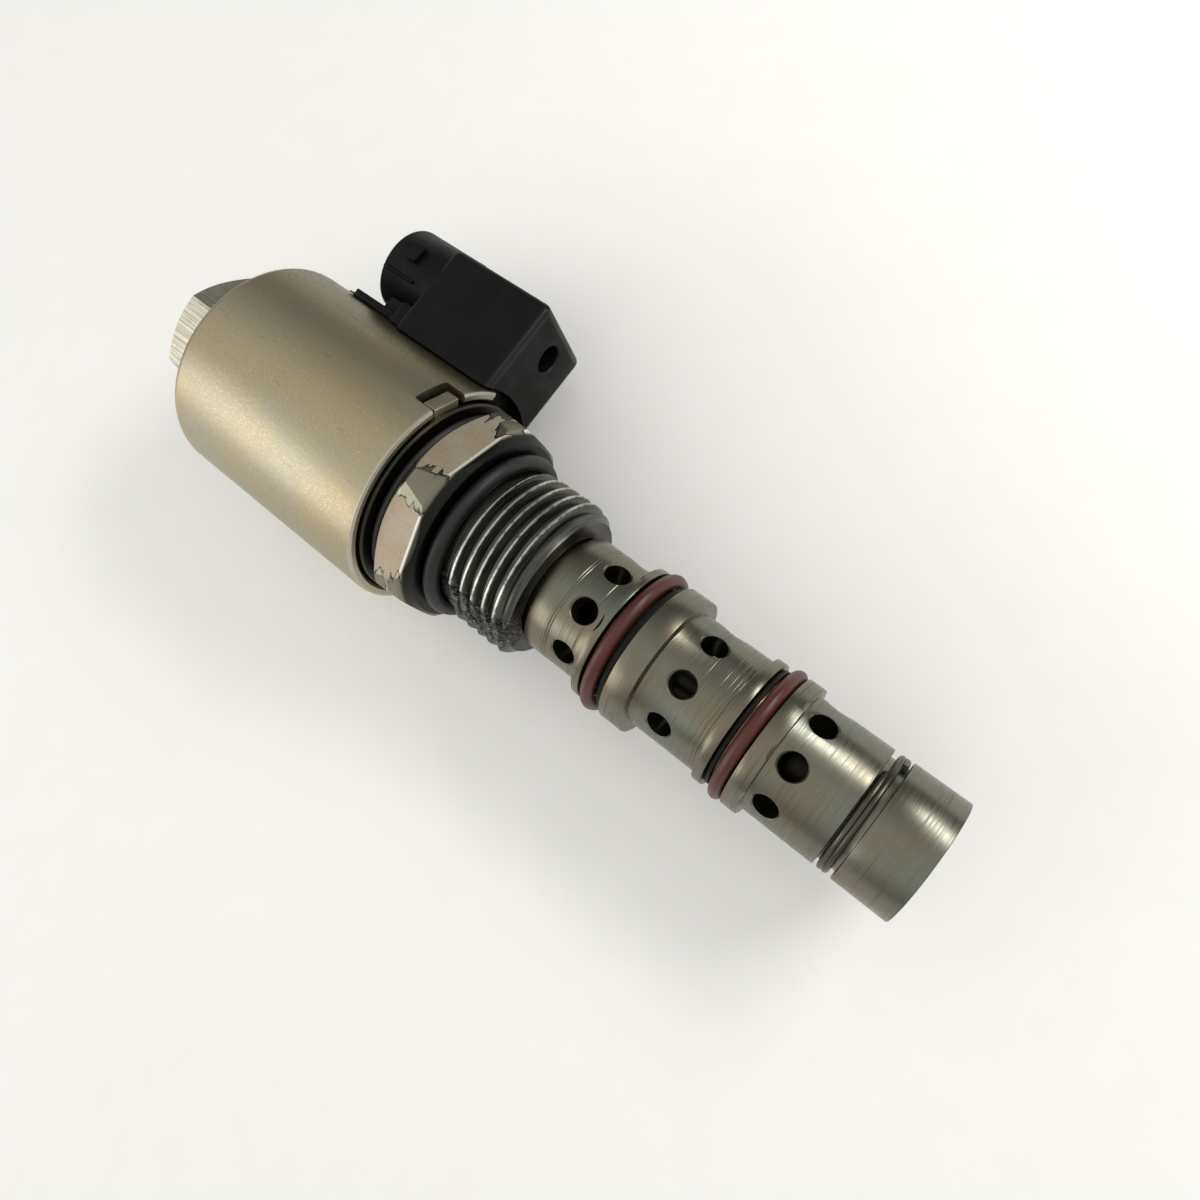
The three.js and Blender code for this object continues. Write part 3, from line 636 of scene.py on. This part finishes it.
def thread_tooth():
    """The ridge of the thread: a V with a narrow flat crest, carried round as a helix."""
    turns = (THREAD_END + 0.6 - THREAD_FIRST_CREST) / THREAD_PITCH
    bpy.ops.mesh.primitive_plane_add(size=1, location=(0, 0, 0))
    tooth = settle(bpy.context.object)
    base, crest = 0.43 * THREAD_PITCH, 0.07 * THREAD_PITCH  # half the ridge's widths
    low, high = THREAD_ROOT - 0.1, THREAD_RADIUS
    for vertex in tooth.data.vertices:
        half = crest if vertex.co.y > 0 else base
        vertex.co = ((THREAD_FIRST_CREST + math.copysign(half, vertex.co.x)) * MM,
                     (high if vertex.co.y > 0 else low) * MM, 0)
    edit(tooth, "FACE")
    bpy.ops.mesh.delete(type="ONLY_FACE")
    leave()
    screw(tooth, THREAD_PITCH, turns, THREAD_STEPS)
    return tooth


def torn_strip():
    """A rough flat along the thread where the crests were knocked down."""
    tool = block("torn_strip", (TORN_START, TORN_FLOOR, -TORN_HALF_WIDTH),
                 (THREAD_END + 1, TORN_TOP, TORN_HALF_WIDTH))
    edit(tool, "FACE")
    bpy.ops.mesh.subdivide(number_cuts=14)
    leave()
    rough = bpy.data.textures.new("torn", "CLOUDS")
    rough.noise_scale = TORN_GRAIN * MM
    modify(tool, "DISPLACE", texture=rough, strength=TORN_GRAIN * MM, mid_level=0.5)
    return spun(tool, TORN_ANGLE)


def make_valve_body():
    """Hexagon with turned corners, the shank with its thread, and the bores."""
    rear = span("hex_body")[0]
    body = hexagon("valve_body", rear, 0, HEX_ACROSS_FLATS, HEX_CORNER_ANGLE)
    corners = turned("corners", [
        (rear, 13.3), (rear + 1.5, 15.05), (-1.45, 14.5), (-0.05, 13.1), (0, 12.9)])
    combine(body, corners, "INTERSECT")
    shank = turned("shank", [(-1, THREAD_ROOT), (THREAD_END, THREAD_ROOT)])
    combine(shank, thread_tooth(), "UNION")
    # Root, run-in, crests and chamfered end of the thread
    limits = turned("limits", [
        (-1.2, THREAD_ROOT + 0.1), (2.9, THREAD_ROOT + 0.1), (3.8, THREAD_RADIUS + 0.02),
        (11.6, THREAD_RADIUS + 0.02), (12.9, 9.95), (THREAD_END, 9.8)])
    combine(shank, limits, "INTERSECT")
    combine(shank, torn_strip(), "DIFFERENCE")
    combine(body, shank, "UNION")
    bores = turned("bores", [
        (rear - 1, TUBE_SEAT), (-1.4, TUBE_SEAT), (-1.4, PIN_HOLE), (1.1, PIN_HOLE),
        (1.1, CAGE_SEAT), (THREAD_END - 0.4, CAGE_SEAT), (THREAD_END + 1, CAGE_SEAT + 1)])
    combine(body, bores, "DIFFERENCE")
    return body


# ---------------------------------------------------------------- cage

# Stretches of the cage from its neck to its nose: length and radius
PORT_1, LIP_1, GROOVE_1, LAND_1 = (8.7, 8.15), (1.1, 9.35), (3.4, 8.07), (3.2, 9.5)
PORT_2, LIP_2, GROOVE_2, LAND_2 = (10.0, 7.95), (1.3, 8.6), (2.95, 7.17), (2.2, 8.8)
PORT_3, WIRE_GROOVE, NOSE = (9.8, 7.85), (2.4, 6.95), (7.15, 7.9)
STRETCHES = [PORT_1, LIP_1, GROOVE_1, LAND_1, PORT_2, LIP_2, GROOVE_2, LAND_2, PORT_3,
             WIRE_GROOVE, NOSE]
WIRE_STRETCH = STRETCHES.index(WIRE_GROOVE)
NECK_RADIUS = 7.1
CAGE_BORE = 5.0
NOSE_BORE = 5.6
HOLE_RADIUS = 1.65
HOLE_COUNT = 8
HOLE_ANGLE = 6.5
HOLES = [(0, 6.05), (4, 4.1), (8, 2.45)]  # which stretch, and how far along it
SCORES = {0: (3.1, 3.45, 7.15), 4: (5.6, 7.6, 8.5, 9.1, 9.55)}  # turned lines along a port
SCORE_DEPTH = 0.07
SCORE_HALF_WIDTH = 0.1


def cage_stations():
    """Start of each stretch of the cage, and the nose's end."""
    end = span("cage")[1]
    starts = [end - sum(length for length, radius in STRETCHES[i:])
              for i in range(len(STRETCHES))]
    return starts + [end]


def make_cage():
    """Sleeve with its lips, lands and grooves, cross-drilled in three rings."""
    rear, end = span("cage")
    starts = cage_stations()
    outline = [(rear, CAGE_BORE), (rear, NECK_RADIUS), (starts[0], NECK_RADIUS)]
    for i, (length, radius) in enumerate(STRETCHES):
        outline.append((starts[i], radius))
        for score in SCORES.get(i, ()):
            x = starts[i] + score
            outline += [(x - SCORE_HALF_WIDTH, radius), (x, radius - SCORE_DEPTH),
                        (x + SCORE_HALF_WIDTH, radius)]
        outline.append((starts[i] + length, radius))
    step = starts[WIRE_STRETCH] - 0.3
    outline += [(end, NOSE_BORE), (step, NOSE_BORE), (step, CAGE_BORE)]
    cage = turned("ported_cage", eased(outline, TURNED_EDGE, ring=True), ring=True)
    for stretch, along in HOLES:
        tool = drills(starts[stretch] + along, HOLE_RADIUS, STRETCHES[stretch][1],
                      HOLE_COUNT, HOLE_ANGLE)
        combine(cage, tool, "DIFFERENCE")
    return cage


WIRE_RADIUS = 0.44
WIRE_ANGLE = 31  # where it ends
WIRE_TURNS = 1.94


def make_lock_wire():
    """Nearly two turns of wire in the groove beside the nose."""
    starts = cage_stations()
    first = starts[WIRE_STRETCH] + 0.15 + WIRE_RADIUS
    last = starts[WIRE_STRETCH + 1] - 0.2 - WIRE_RADIUS
    pitch = (last - first) / WIRE_TURNS
    return coiled("lock_wire_ring", first, WIRE_ANGLE - WIRE_TURNS * 360,
                  WIRE_GROOVE[1] + 0.04 + WIRE_RADIUS, WIRE_RADIUS, pitch, WIRE_TURNS)


def make_backup(name, node, thickness):
    """Flat ring beside a seal, low in its groove."""
    start, end = span(node)
    outer = reach_of(node) - 0.25
    inner = outer - thickness
    outline = [(start, inner), (start, outer), (end, outer), (end, inner)]
    return turned(name, eased(outline, TURNED_EDGE, ring=True), SMALL_SIDES, ring=True)


def make_nose_plug():
    start, end = span("nose_plug")
    outer = reach_of("nose_plug")
    inner, hole, floor = outer - 1.3, 1.0, end - 2.6
    outline = [(start, inner), (start, outer), (end, outer), (end, hole + 0.4),
               (end - 0.4, hole), (floor, hole), (floor, inner)]
    return turned("nose_plug_cup", eased(outline, 0.15, ring=True), SMALL_SIDES, ring=True)


def make_spool():
    """Spool with two waisted stretches, grooved lands and a stem for the spring."""
    start, end = span("spool")
    starts = cage_stations()
    land, neck, stem = CAGE_BORE - 0.08, 3.2, 2.4
    groove_width, groove_depth = 0.4, 0.3
    holes = [starts[stretch] + along for stretch, along in HOLES]
    spool_end = end - 1.6
    outline = [(start, land)]
    for low, high in ((start + 8, holes[0] + 0.6), (holes[1] - 2.25, holes[2] - 1.05)):
        for groove in (low - 2.6, low - 1.4):
            outline += [(groove, land), (groove, land - groove_depth),
                        (groove + groove_width, land - groove_depth),
                        (groove + groove_width, land)]
        outline += [(low, land), (low, neck), (high, neck), (high, land)]
    outline += [(spool_end, land), (spool_end, stem), (end, stem)]
    return turned("spool_rod", eased(outline, TURNED_EDGE), SMALL_SIDES)


SPRING_WIRE = 0.42  # radius
SPRING_TURNS = 6


def make_return_spring():
    start, end = span("return_spring")
    pitch = (end - start - 2 * SPRING_WIRE) / SPRING_TURNS
    return coiled("return_spring_coil", start + SPRING_WIRE, 0,
                  reach_of("return_spring") - SPRING_WIRE, SPRING_WIRE, pitch, SPRING_TURNS)


# ---------------------------------------------------------------- coil

CAN_WALL = 1.4
CAN_END_WALL = 2.0
CAN_EDGE_RADIUS = 1.4
COIL_HOLE = 6.15
NOTCH_ANGLES = (53.5, 233.5)
NOTCH_WIDTH, NOTCH_DEPTH = 5.4, 3.3
TAB_WIDTH, TAB_DEPTH, TAB_RADIUS = 4.1, 2.0, 15.3
TAB_SET = 0.4  # behind the can's rim
NECK_WIDTH = 10.4


def radial_block(name, start, end, inner, outer, width, angle, corner):
    half = width / 2
    return spun(block(name, (start, inner, -half), (end, outer, half), corner), angle)


def make_can():
    """Drawn can with its rim, the connector's slot and two staking notches."""
    rear, front = span("coil_can")
    outer = reach_of("coil_can")
    bore = outer - CAN_WALL
    outline = [(front, bore + 0.35), (front, outer - 0.45), (front - 0.18, outer - 0.12),
               (front - 0.6, outer)]
    outline += arc(rear + CAN_EDGE_RADIUS, outer - CAN_EDGE_RADIUS, CAN_EDGE_RADIUS,
                   90, 180, 10)
    outline += [(rear, COIL_HOLE + 0.3), (rear + 0.3, COIL_HOLE),
                (rear + CAN_END_WALL, COIL_HOLE), (rear + CAN_END_WALL, bore),
                (front - 0.35, bore)]
    can = turned("plated_can", outline, CAN_SIDES, ring=True)
    half = NECK_WIDTH / 2 + 0.3
    slot = block("slot", (PAD_START - 0.3, bore - 4, -half),
                 (front + 1, outer + 1, half), 0.4)
    combine(can, slot, "DIFFERENCE")
    for angle in NOTCH_ANGLES:
        notch = radial_block("notch", front - NOTCH_DEPTH, front + 2, bore - 1, outer + 1,
                             NOTCH_WIDTH, angle, 0.35)
        combine(can, notch, "DIFFERENCE")
    return can


def make_flux_plate():
    """Plate that closes the can, with a tab in each notch."""
    rear = span("flux_plate")[0]
    can_front = span("coil_can")[1]
    plate_front = can_front + 0.3
    bore = reach_of("coil_can") - CAN_WALL
    plate = turned("flux_plate_disc", [
        (rear, COIL_HOLE), (rear, bore - 0.3), (plate_front - 0.25, bore - 0.3),
        (plate_front, bore - 0.55), (plate_front, COIL_HOLE + 0.3),
        (plate_front - 0.3, COIL_HOLE)], ring=True)
    for angle in NOTCH_ANGLES:
        tab = radial_block("tab", can_front - TAB_SET - TAB_DEPTH, can_front - TAB_SET,
                           bore - 1, TAB_RADIUS, TAB_WIDTH, angle, 0.15)
        combine(plate, tab, "UNION")
    return plate


# Connector moulding: saddle on the can, head, barrel and socket
CONNECTOR_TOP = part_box("connector")[1].y / MM
PAD_START, HEAD_END = span("coil_can")[0] + 7.5, span("coil_can")[1] - 0.4
HEAD_SIDE = 7.75
HEAD_START, HEAD_TOP = HEAD_END - 17.4, CONNECTOR_TOP - 1.9
HEAD_BASE, HEAD_BEVEL = 12.5, 1.2
FOOT_SIDE, FOOT_TOP = 6.8, 18.2
SADDLE_SIDE = 5.93
JACKET_BORE = 12.9  # round the winding
VENT_RADIUS, VENT_DROP = 1.9, 4.3
TERMINAL_THICKNESS = 0.8
BARREL_RADIUS = 6.2
BARREL_HEIGHT, BARREL_START = CONNECTOR_TOP - BARREL_RADIUS, HEAD_END - 26.9
SOCKET_RADIUS, SOCKET_DEPTH = 5.3, 11.2


def lifted(piece, height):
    piece.location = (0, height * MM, 0)
    return settle(piece)


def head_block(outer):
    """Terminal block: a box with a crowned top and rounded shoulders, hollowed to clear
    the can."""
    head = block("connector_moulding", (HEAD_START, HEAD_BASE, -HEAD_SIDE),
                 (HEAD_END, HEAD_TOP, HEAD_SIDE))
    take(head)
    for edge in head.data.edges:
        a, b = (head.data.vertices[i].co / MM for i in edge.vertices)
        edge.select = min(a.y, b.y) > HEAD_TOP - 0.1 and abs(a.z - b.z) < 0.1
    bpy.ops.object.mode_set(mode="EDIT")
    bpy.ops.mesh.select_mode(type="EDGE")
    bpy.ops.mesh.bevel(offset=HEAD_BEVEL * MM, segments=5, affect="EDGES")
    leave()
    soften(head, 0.4, 3)
    foot = block("foot", (HEAD_START - 2, HEAD_BASE, -FOOT_SIDE),
                 (HEAD_START + 1, FOOT_TOP, FOOT_SIDE), 0.5)
    combine(head, foot, "UNION")
    clearance = outer + 0.31
    clear = turned("clear", [(HEAD_START - 4, clearance), (HEAD_END + 1, clearance)])
    return combine(head, clear, "DIFFERENCE")


def make_connector():
    """Socket barrel, terminal block, web and the saddle on the can, one moulding."""
    outer = reach_of("coil_can")
    bore = outer - CAN_WALL
    coil_rear, coil_front = span("bobbin")
    head = head_block(outer)
    barrel = lifted(turned("barrel", [
        (BARREL_START, BARREL_RADIUS - 0.3), (BARREL_START + 0.1, BARREL_RADIUS - 0.1),
        (BARREL_START + 0.35, BARREL_RADIUS), (HEAD_START + 1.05, BARREL_RADIUS)],
        BARREL_SIDES), BARREL_HEIGHT)
    web = block("web", (BARREL_START + 2.5, outer - 0.5, -3.2),
                (HEAD_START + 0.9, BARREL_HEIGHT - 4, 3.2), 0.3)
    saddle_front = HEAD_END - 0.15
    saddle = turned("saddle", [
        (PAD_START, outer + 0.3), (PAD_START, outer + 0.45), (PAD_START + 4, outer + 0.6),
        (saddle_front, outer + 0.9), (saddle_front, outer + 0.3)], ring=True)
    trim = block("trim", (PAD_START - 1, 10, -SADDLE_SIDE),
                 (HEAD_END + 2, outer + 2, SADDLE_SIDE))
    combine(saddle, trim, "INTERSECT")
    neck = block("neck", (PAD_START + 0.1, 13.1, -NECK_WIDTH / 2),
                 (coil_front, outer + 0.4, NECK_WIDTH / 2), 0.2)
    jacket_front = coil_front - 0.05
    jacket = turned("jacket", [
        (coil_rear, JACKET_BORE), (coil_rear, bore - 0.3), (jacket_front, bore - 0.3),
        (jacket_front, JACKET_BORE)], ring=True)
    lug = block("lug", (BARREL_START + 3.1, BARREL_HEIGHT - 0.4, 3),
                (BARREL_START + 5, BARREL_HEIGHT + 2.2, BARREL_RADIUS + 0.75), 0.15)
    rib = block("rib", (BARREL_START + 0.4, BARREL_HEIGHT - 2.9, 4),
                (BARREL_START + 6, BARREL_HEIGHT - 2.5, BARREL_RADIUS - 0.25), 0.1)
    for part in (web, barrel, saddle, neck, jacket, lug, rib):
        combine(head, part, "UNION")
    socket = lifted(turned("socket", [
        (BARREL_START - 1, SOCKET_RADIUS + 1.3), (BARREL_START + 0.3, SOCKET_RADIUS),
        (BARREL_START + SOCKET_DEPTH, SOCKET_RADIUS - 0.1)], BARREL_SIDES),
        BARREL_HEIGHT)
    combine(head, socket, "DIFFERENCE")
    vent = lifted(turned("vent", [
        (HEAD_END - 3, VENT_RADIUS), (HEAD_END - 0.2, VENT_RADIUS + 0.1),
        (HEAD_END + 1, VENT_RADIUS + 1)], VENT_SIDES), HEAD_TOP - VENT_DROP)
    combine(head, vent, "DIFFERENCE")
    for node in ("terminal_1", "terminal_2"):
        combine(head, terminal_shape("cut", node, 0.1), "DIFFERENCE")
    return head


def terminal_shape(name, node, margin=0.0):
    """A blade in the socket and a leg down to the winding, bent from one strip."""
    low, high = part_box(node)
    low, high = low / MM, high / MM
    depth = TERMINAL_THICKNESS + margin
    blade = block(name, (low.x - margin, high.y - depth, low.z - margin),
                  (high.x + margin, high.y + margin, high.z + margin))
    leg = block("leg", (high.x - depth, low.y - margin, low.z - margin),
                (high.x + margin, high.y - TERMINAL_THICKNESS / 2, high.z + margin))
    return combine(blade, leg, "UNION")


NUT_ACROSS_FLATS = 17.0
NUT_CORNER_ANGLE = 21.5
NUT_OVER_CORNERS = 9.85  # radius
TUBE_WALL = 0.7


def make_nut():
    rear, front = span("coil_nut")
    nut = hexagon("coil_nut_hexagon", rear, front, NUT_ACROSS_FLATS, NUT_CORNER_ANGLE)
    limits = turned("limits", [(rear, 8.2), (rear + 1.15, NUT_OVER_CORNERS),
                               (front - 1, NUT_OVER_CORNERS), (front, 8.6)])
    combine(nut, limits, "INTERSECT")
    bore = turned("bore", [(rear - 1, 7.3), (rear + 0.6, TUBE_SEAT),
                           (front + 1, TUBE_SEAT)])
    return combine(nut, bore, "DIFFERENCE")


def make_tube():
    rear, front = span("armature_tube")
    outer = reach_of("armature_tube")
    inner, chamfer = outer - TUBE_WALL, 0.35
    outline = [(rear, inner), (rear, outer - chamfer), (rear + chamfer, outer),
               (front, outer), (front, inner)]
    return turned("tube_sleeve", eased(outline, TURNED_EDGE, ring=True), SMALL_SIDES,
                  ring=True)


def make_tube_end():
    rear, front = span("tube_end")
    outer = reach_of("tube_end")
    return turned("tube_end_plug", eased([
        (rear + 1.6, 0.05), (rear + 1.3, 1.2), (rear, 1.5), (rear, outer - 0.4),
        (rear + 0.4, outer), (front, outer)], TURNED_EDGE), SMALL_SIDES)


# ---------------------------------------------------------------- assembly

cage_steel = turned_steel("ground_steel", "#73746A", "#776F60", "#2B2A24", 0.3)
hexagon_finish = hexagon_steel()
thread_finish = thread_steel()
plate_steel = turned_steel("turned_dark_steel", "#3D3B33", "#443E34", "#16150F", 0.36)
can_finish = plated_can()
brown_rubber = moulded("fluorocarbon_rubber", "#481A12", "#602A1F", 0.42, 0.25, 0.006)
black_rubber = moulded("nitrile_rubber", "#070707", "#121211", 0.5, 0.3, 0.008)
black_plastic = moulded("glass_filled_nylon", "#080809", "#131415", 0.5, 0.35, 0.012,
                        specular=0.16)
paler_edge_plastic = moulded("paler_nylon_edge", "#111213", "#303132", 0.42, 0.3, 0.01,
                         specular=0.3)
pale_plastic = moulded("natural_nylon", "#CFC9B8", "#DDD8CA", 0.45, 0.3, 0.006)
nut_finish = drawn_steel("cold_drawn_steel", "#C4C0B2", "#858070", 0.3)
ring_finish = turned_steel("oiled_spring_wire", "#57554C", "#4B4941", "#1E1D19", 0.32)
drawn_finish = drawn_steel("hard_drawn_spring_wire", "#4F4D45", "#201F1B", 0.36, 0.15)
tin_finish = drawn_steel("tinned_brass", "#D0CDC4", "#9A968A", 0.25, 0.2)
spool_steel = turned_steel("oiled_spool_steel", "#24231F", "#1E1C18", "#0D0D0B", 0.34)
filled_ptfe = moulded("carbon_filled_ptfe", "#0C0B0A", "#161412", 0.55, 0.3, 0.006,
                      specular=0.2)
soft_iron = turned_steel("soft_iron", "#8E8A80", "#7D7568", "#3E3B35", 0.36)
copper_finish = copper_winding()

body = show(make_valve_body(), "valve", ["hex_body"], "body_steel", hexagon_finish,
            thread_finish)
paint(body, 1, lambda place: place.x > 0.02)  # in front of the seat face
show(make_cage(), "valve", ["cage"], "ground_steel", cage_steel)
show(make_nose_plug(), "valve", ["nose_plug"], "ground_steel", cage_steel)
show(make_lock_wire(), "valve", ["lock_wire"], "bright_steel", ring_finish)
SEALS = [("seat_o_ring", "seat_seal", 2.1, "black_rubber", black_rubber),
         ("cage_o_ring_1", "cage_seal_1", 1.78, "brown_rubber", brown_rubber),
         ("cage_o_ring_2", "cage_seal_2", 1.78, "brown_rubber", brown_rubber),
         ("nut_o_ring", "nut_seal", 1.2, "black_rubber", black_rubber),
         ("coil_o_ring", "coil_seal", 1.2, "black_rubber", black_rubber)]
for name, node, section, slot, material in SEALS:
    show(o_ring(name, node, section), "valve", [node], slot, material)
show(make_backup("backup_1", "backup_ring_1", 0.75), "valve", ["backup_ring_1"],
     "black_plastic", filled_ptfe)
show(make_backup("backup_2", "backup_ring_2", 0.6), "valve", ["backup_ring_2"],
     "pale_plastic", filled_ptfe)
show(make_nut(), "valve", ["coil_nut"], "bright_steel", nut_finish)
show(make_tube(), "valve", ["armature_tube"], "bright_steel", drawn_finish)
show(make_tube_end(), "valve", ["tube_end"], "bright_steel", drawn_finish)
show(make_spool(), "spool", ["spool"], "ground_steel", spool_steel)
spring = show(make_return_spring(), "valve", ["return_spring"], "bright_steel",
              drawn_finish)
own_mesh(spring)
show(make_can(), "coil", ["coil_can"], "plated_steel", can_finish)
plate = show(make_flux_plate(), "coil", ["flux_plate"], "soft_iron", plate_steel,
             can_finish)
can_bore = reach_of("coil_can") - CAN_WALL
paint(plate, 1, lambda place: math.hypot(place.y, place.z) > can_bore - 0.2)  # its tabs
connector = show(make_connector(), "coil", ["connector"], "black_plastic", black_plastic,
                 paler_edge_plastic)
# paler, shinier plastic along the top of the head's front edge
paint(connector, 1,  # the front edge of the head
      lambda place: place.y > 17 and HEAD_END - 0.4 < place.x < HEAD_END - 0.02)
for number in ("1", "2"):
    blade = soften(terminal_shape("terminal_blade_" + number, "terminal_" + number), 0.1)
    show(blade, "coil", ["terminal_" + number], "tinned_brass", tin_finish)

# Pieces that stay as the frame has them, inside the valve
CARRIED = {"pole_piece": soft_iron, "armature": soft_iron, "push_pin": drawn_finish,
           "bobbin": pale_plastic, "winding": copper_finish}
for node, material in CARRIED.items():
    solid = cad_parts[node]
    solid.data.materials.clear()
    solid.data.materials.append(material)


# ---------------------------------------------------------------- studio


def add_floor():
    bpy.ops.mesh.primitive_plane_add(size=FLOOR_SIZE, location=(0, 0, 0))
    floor = bpy.context.object
    floor.name = "floor"
    floor.location.z = -reach_of("coil_can") * MM
    settle(floor)
    floor.data.materials.append(pale_floor())


def add_softbox(place, target, size, power, colour):
    """A soft rectangular lamp at place that faces target, all in metres."""
    bpy.ops.object.light_add(type="AREA", location=place)
    lamp = bpy.context.object
    away = lamp.location - Vector(target)
    lamp.rotation_euler = away.to_track_quat("Z", "Y").to_euler()
    lamp.data.shape = "RECTANGLE"
    lamp.data.size, lamp.data.size_y = size
    lamp.data.energy = power
    lamp.data.color = linear(colour)[:3]


def add_sky():
    """Ceiling light that fades towards the walls, and more so on the connector's side."""
    world = bpy.data.worlds.new("studio")
    bpy.context.scene.world = world
    world.use_nodes = True
    tree = world.node_tree
    direction = add_node(tree, "TexCoord").outputs["Generated"]
    parts = add_node(tree, "SeparateXYZ", {0: direction}).outputs
    overhead = ramp(tree, parts[2], 0.0, 0.6, 0.30, 1.0)
    beside = ramp(tree, parts[1], 0.0, 0.7, 1.0, 0.35)
    tree.links.new(calc(tree, "MULTIPLY", overhead, beside),
                   tree.nodes["Background"].inputs["Strength"])
    tree.nodes["Background"].inputs["Color"].default_value = linear("#F6F6F2")


bpy.context.scene.view_settings.view_transform = "Standard"
add_floor()
add_sky()
add_softbox((-0.26, -0.34, 0.16), (0, 0, 0), (0.36, 0.24), 0.6, "#FFFEFB")
add_softbox((0.16, 0.26, 0.22), (0.03, 0, 0), (0.22, 0.08), 0.6, "#FBFAF7")
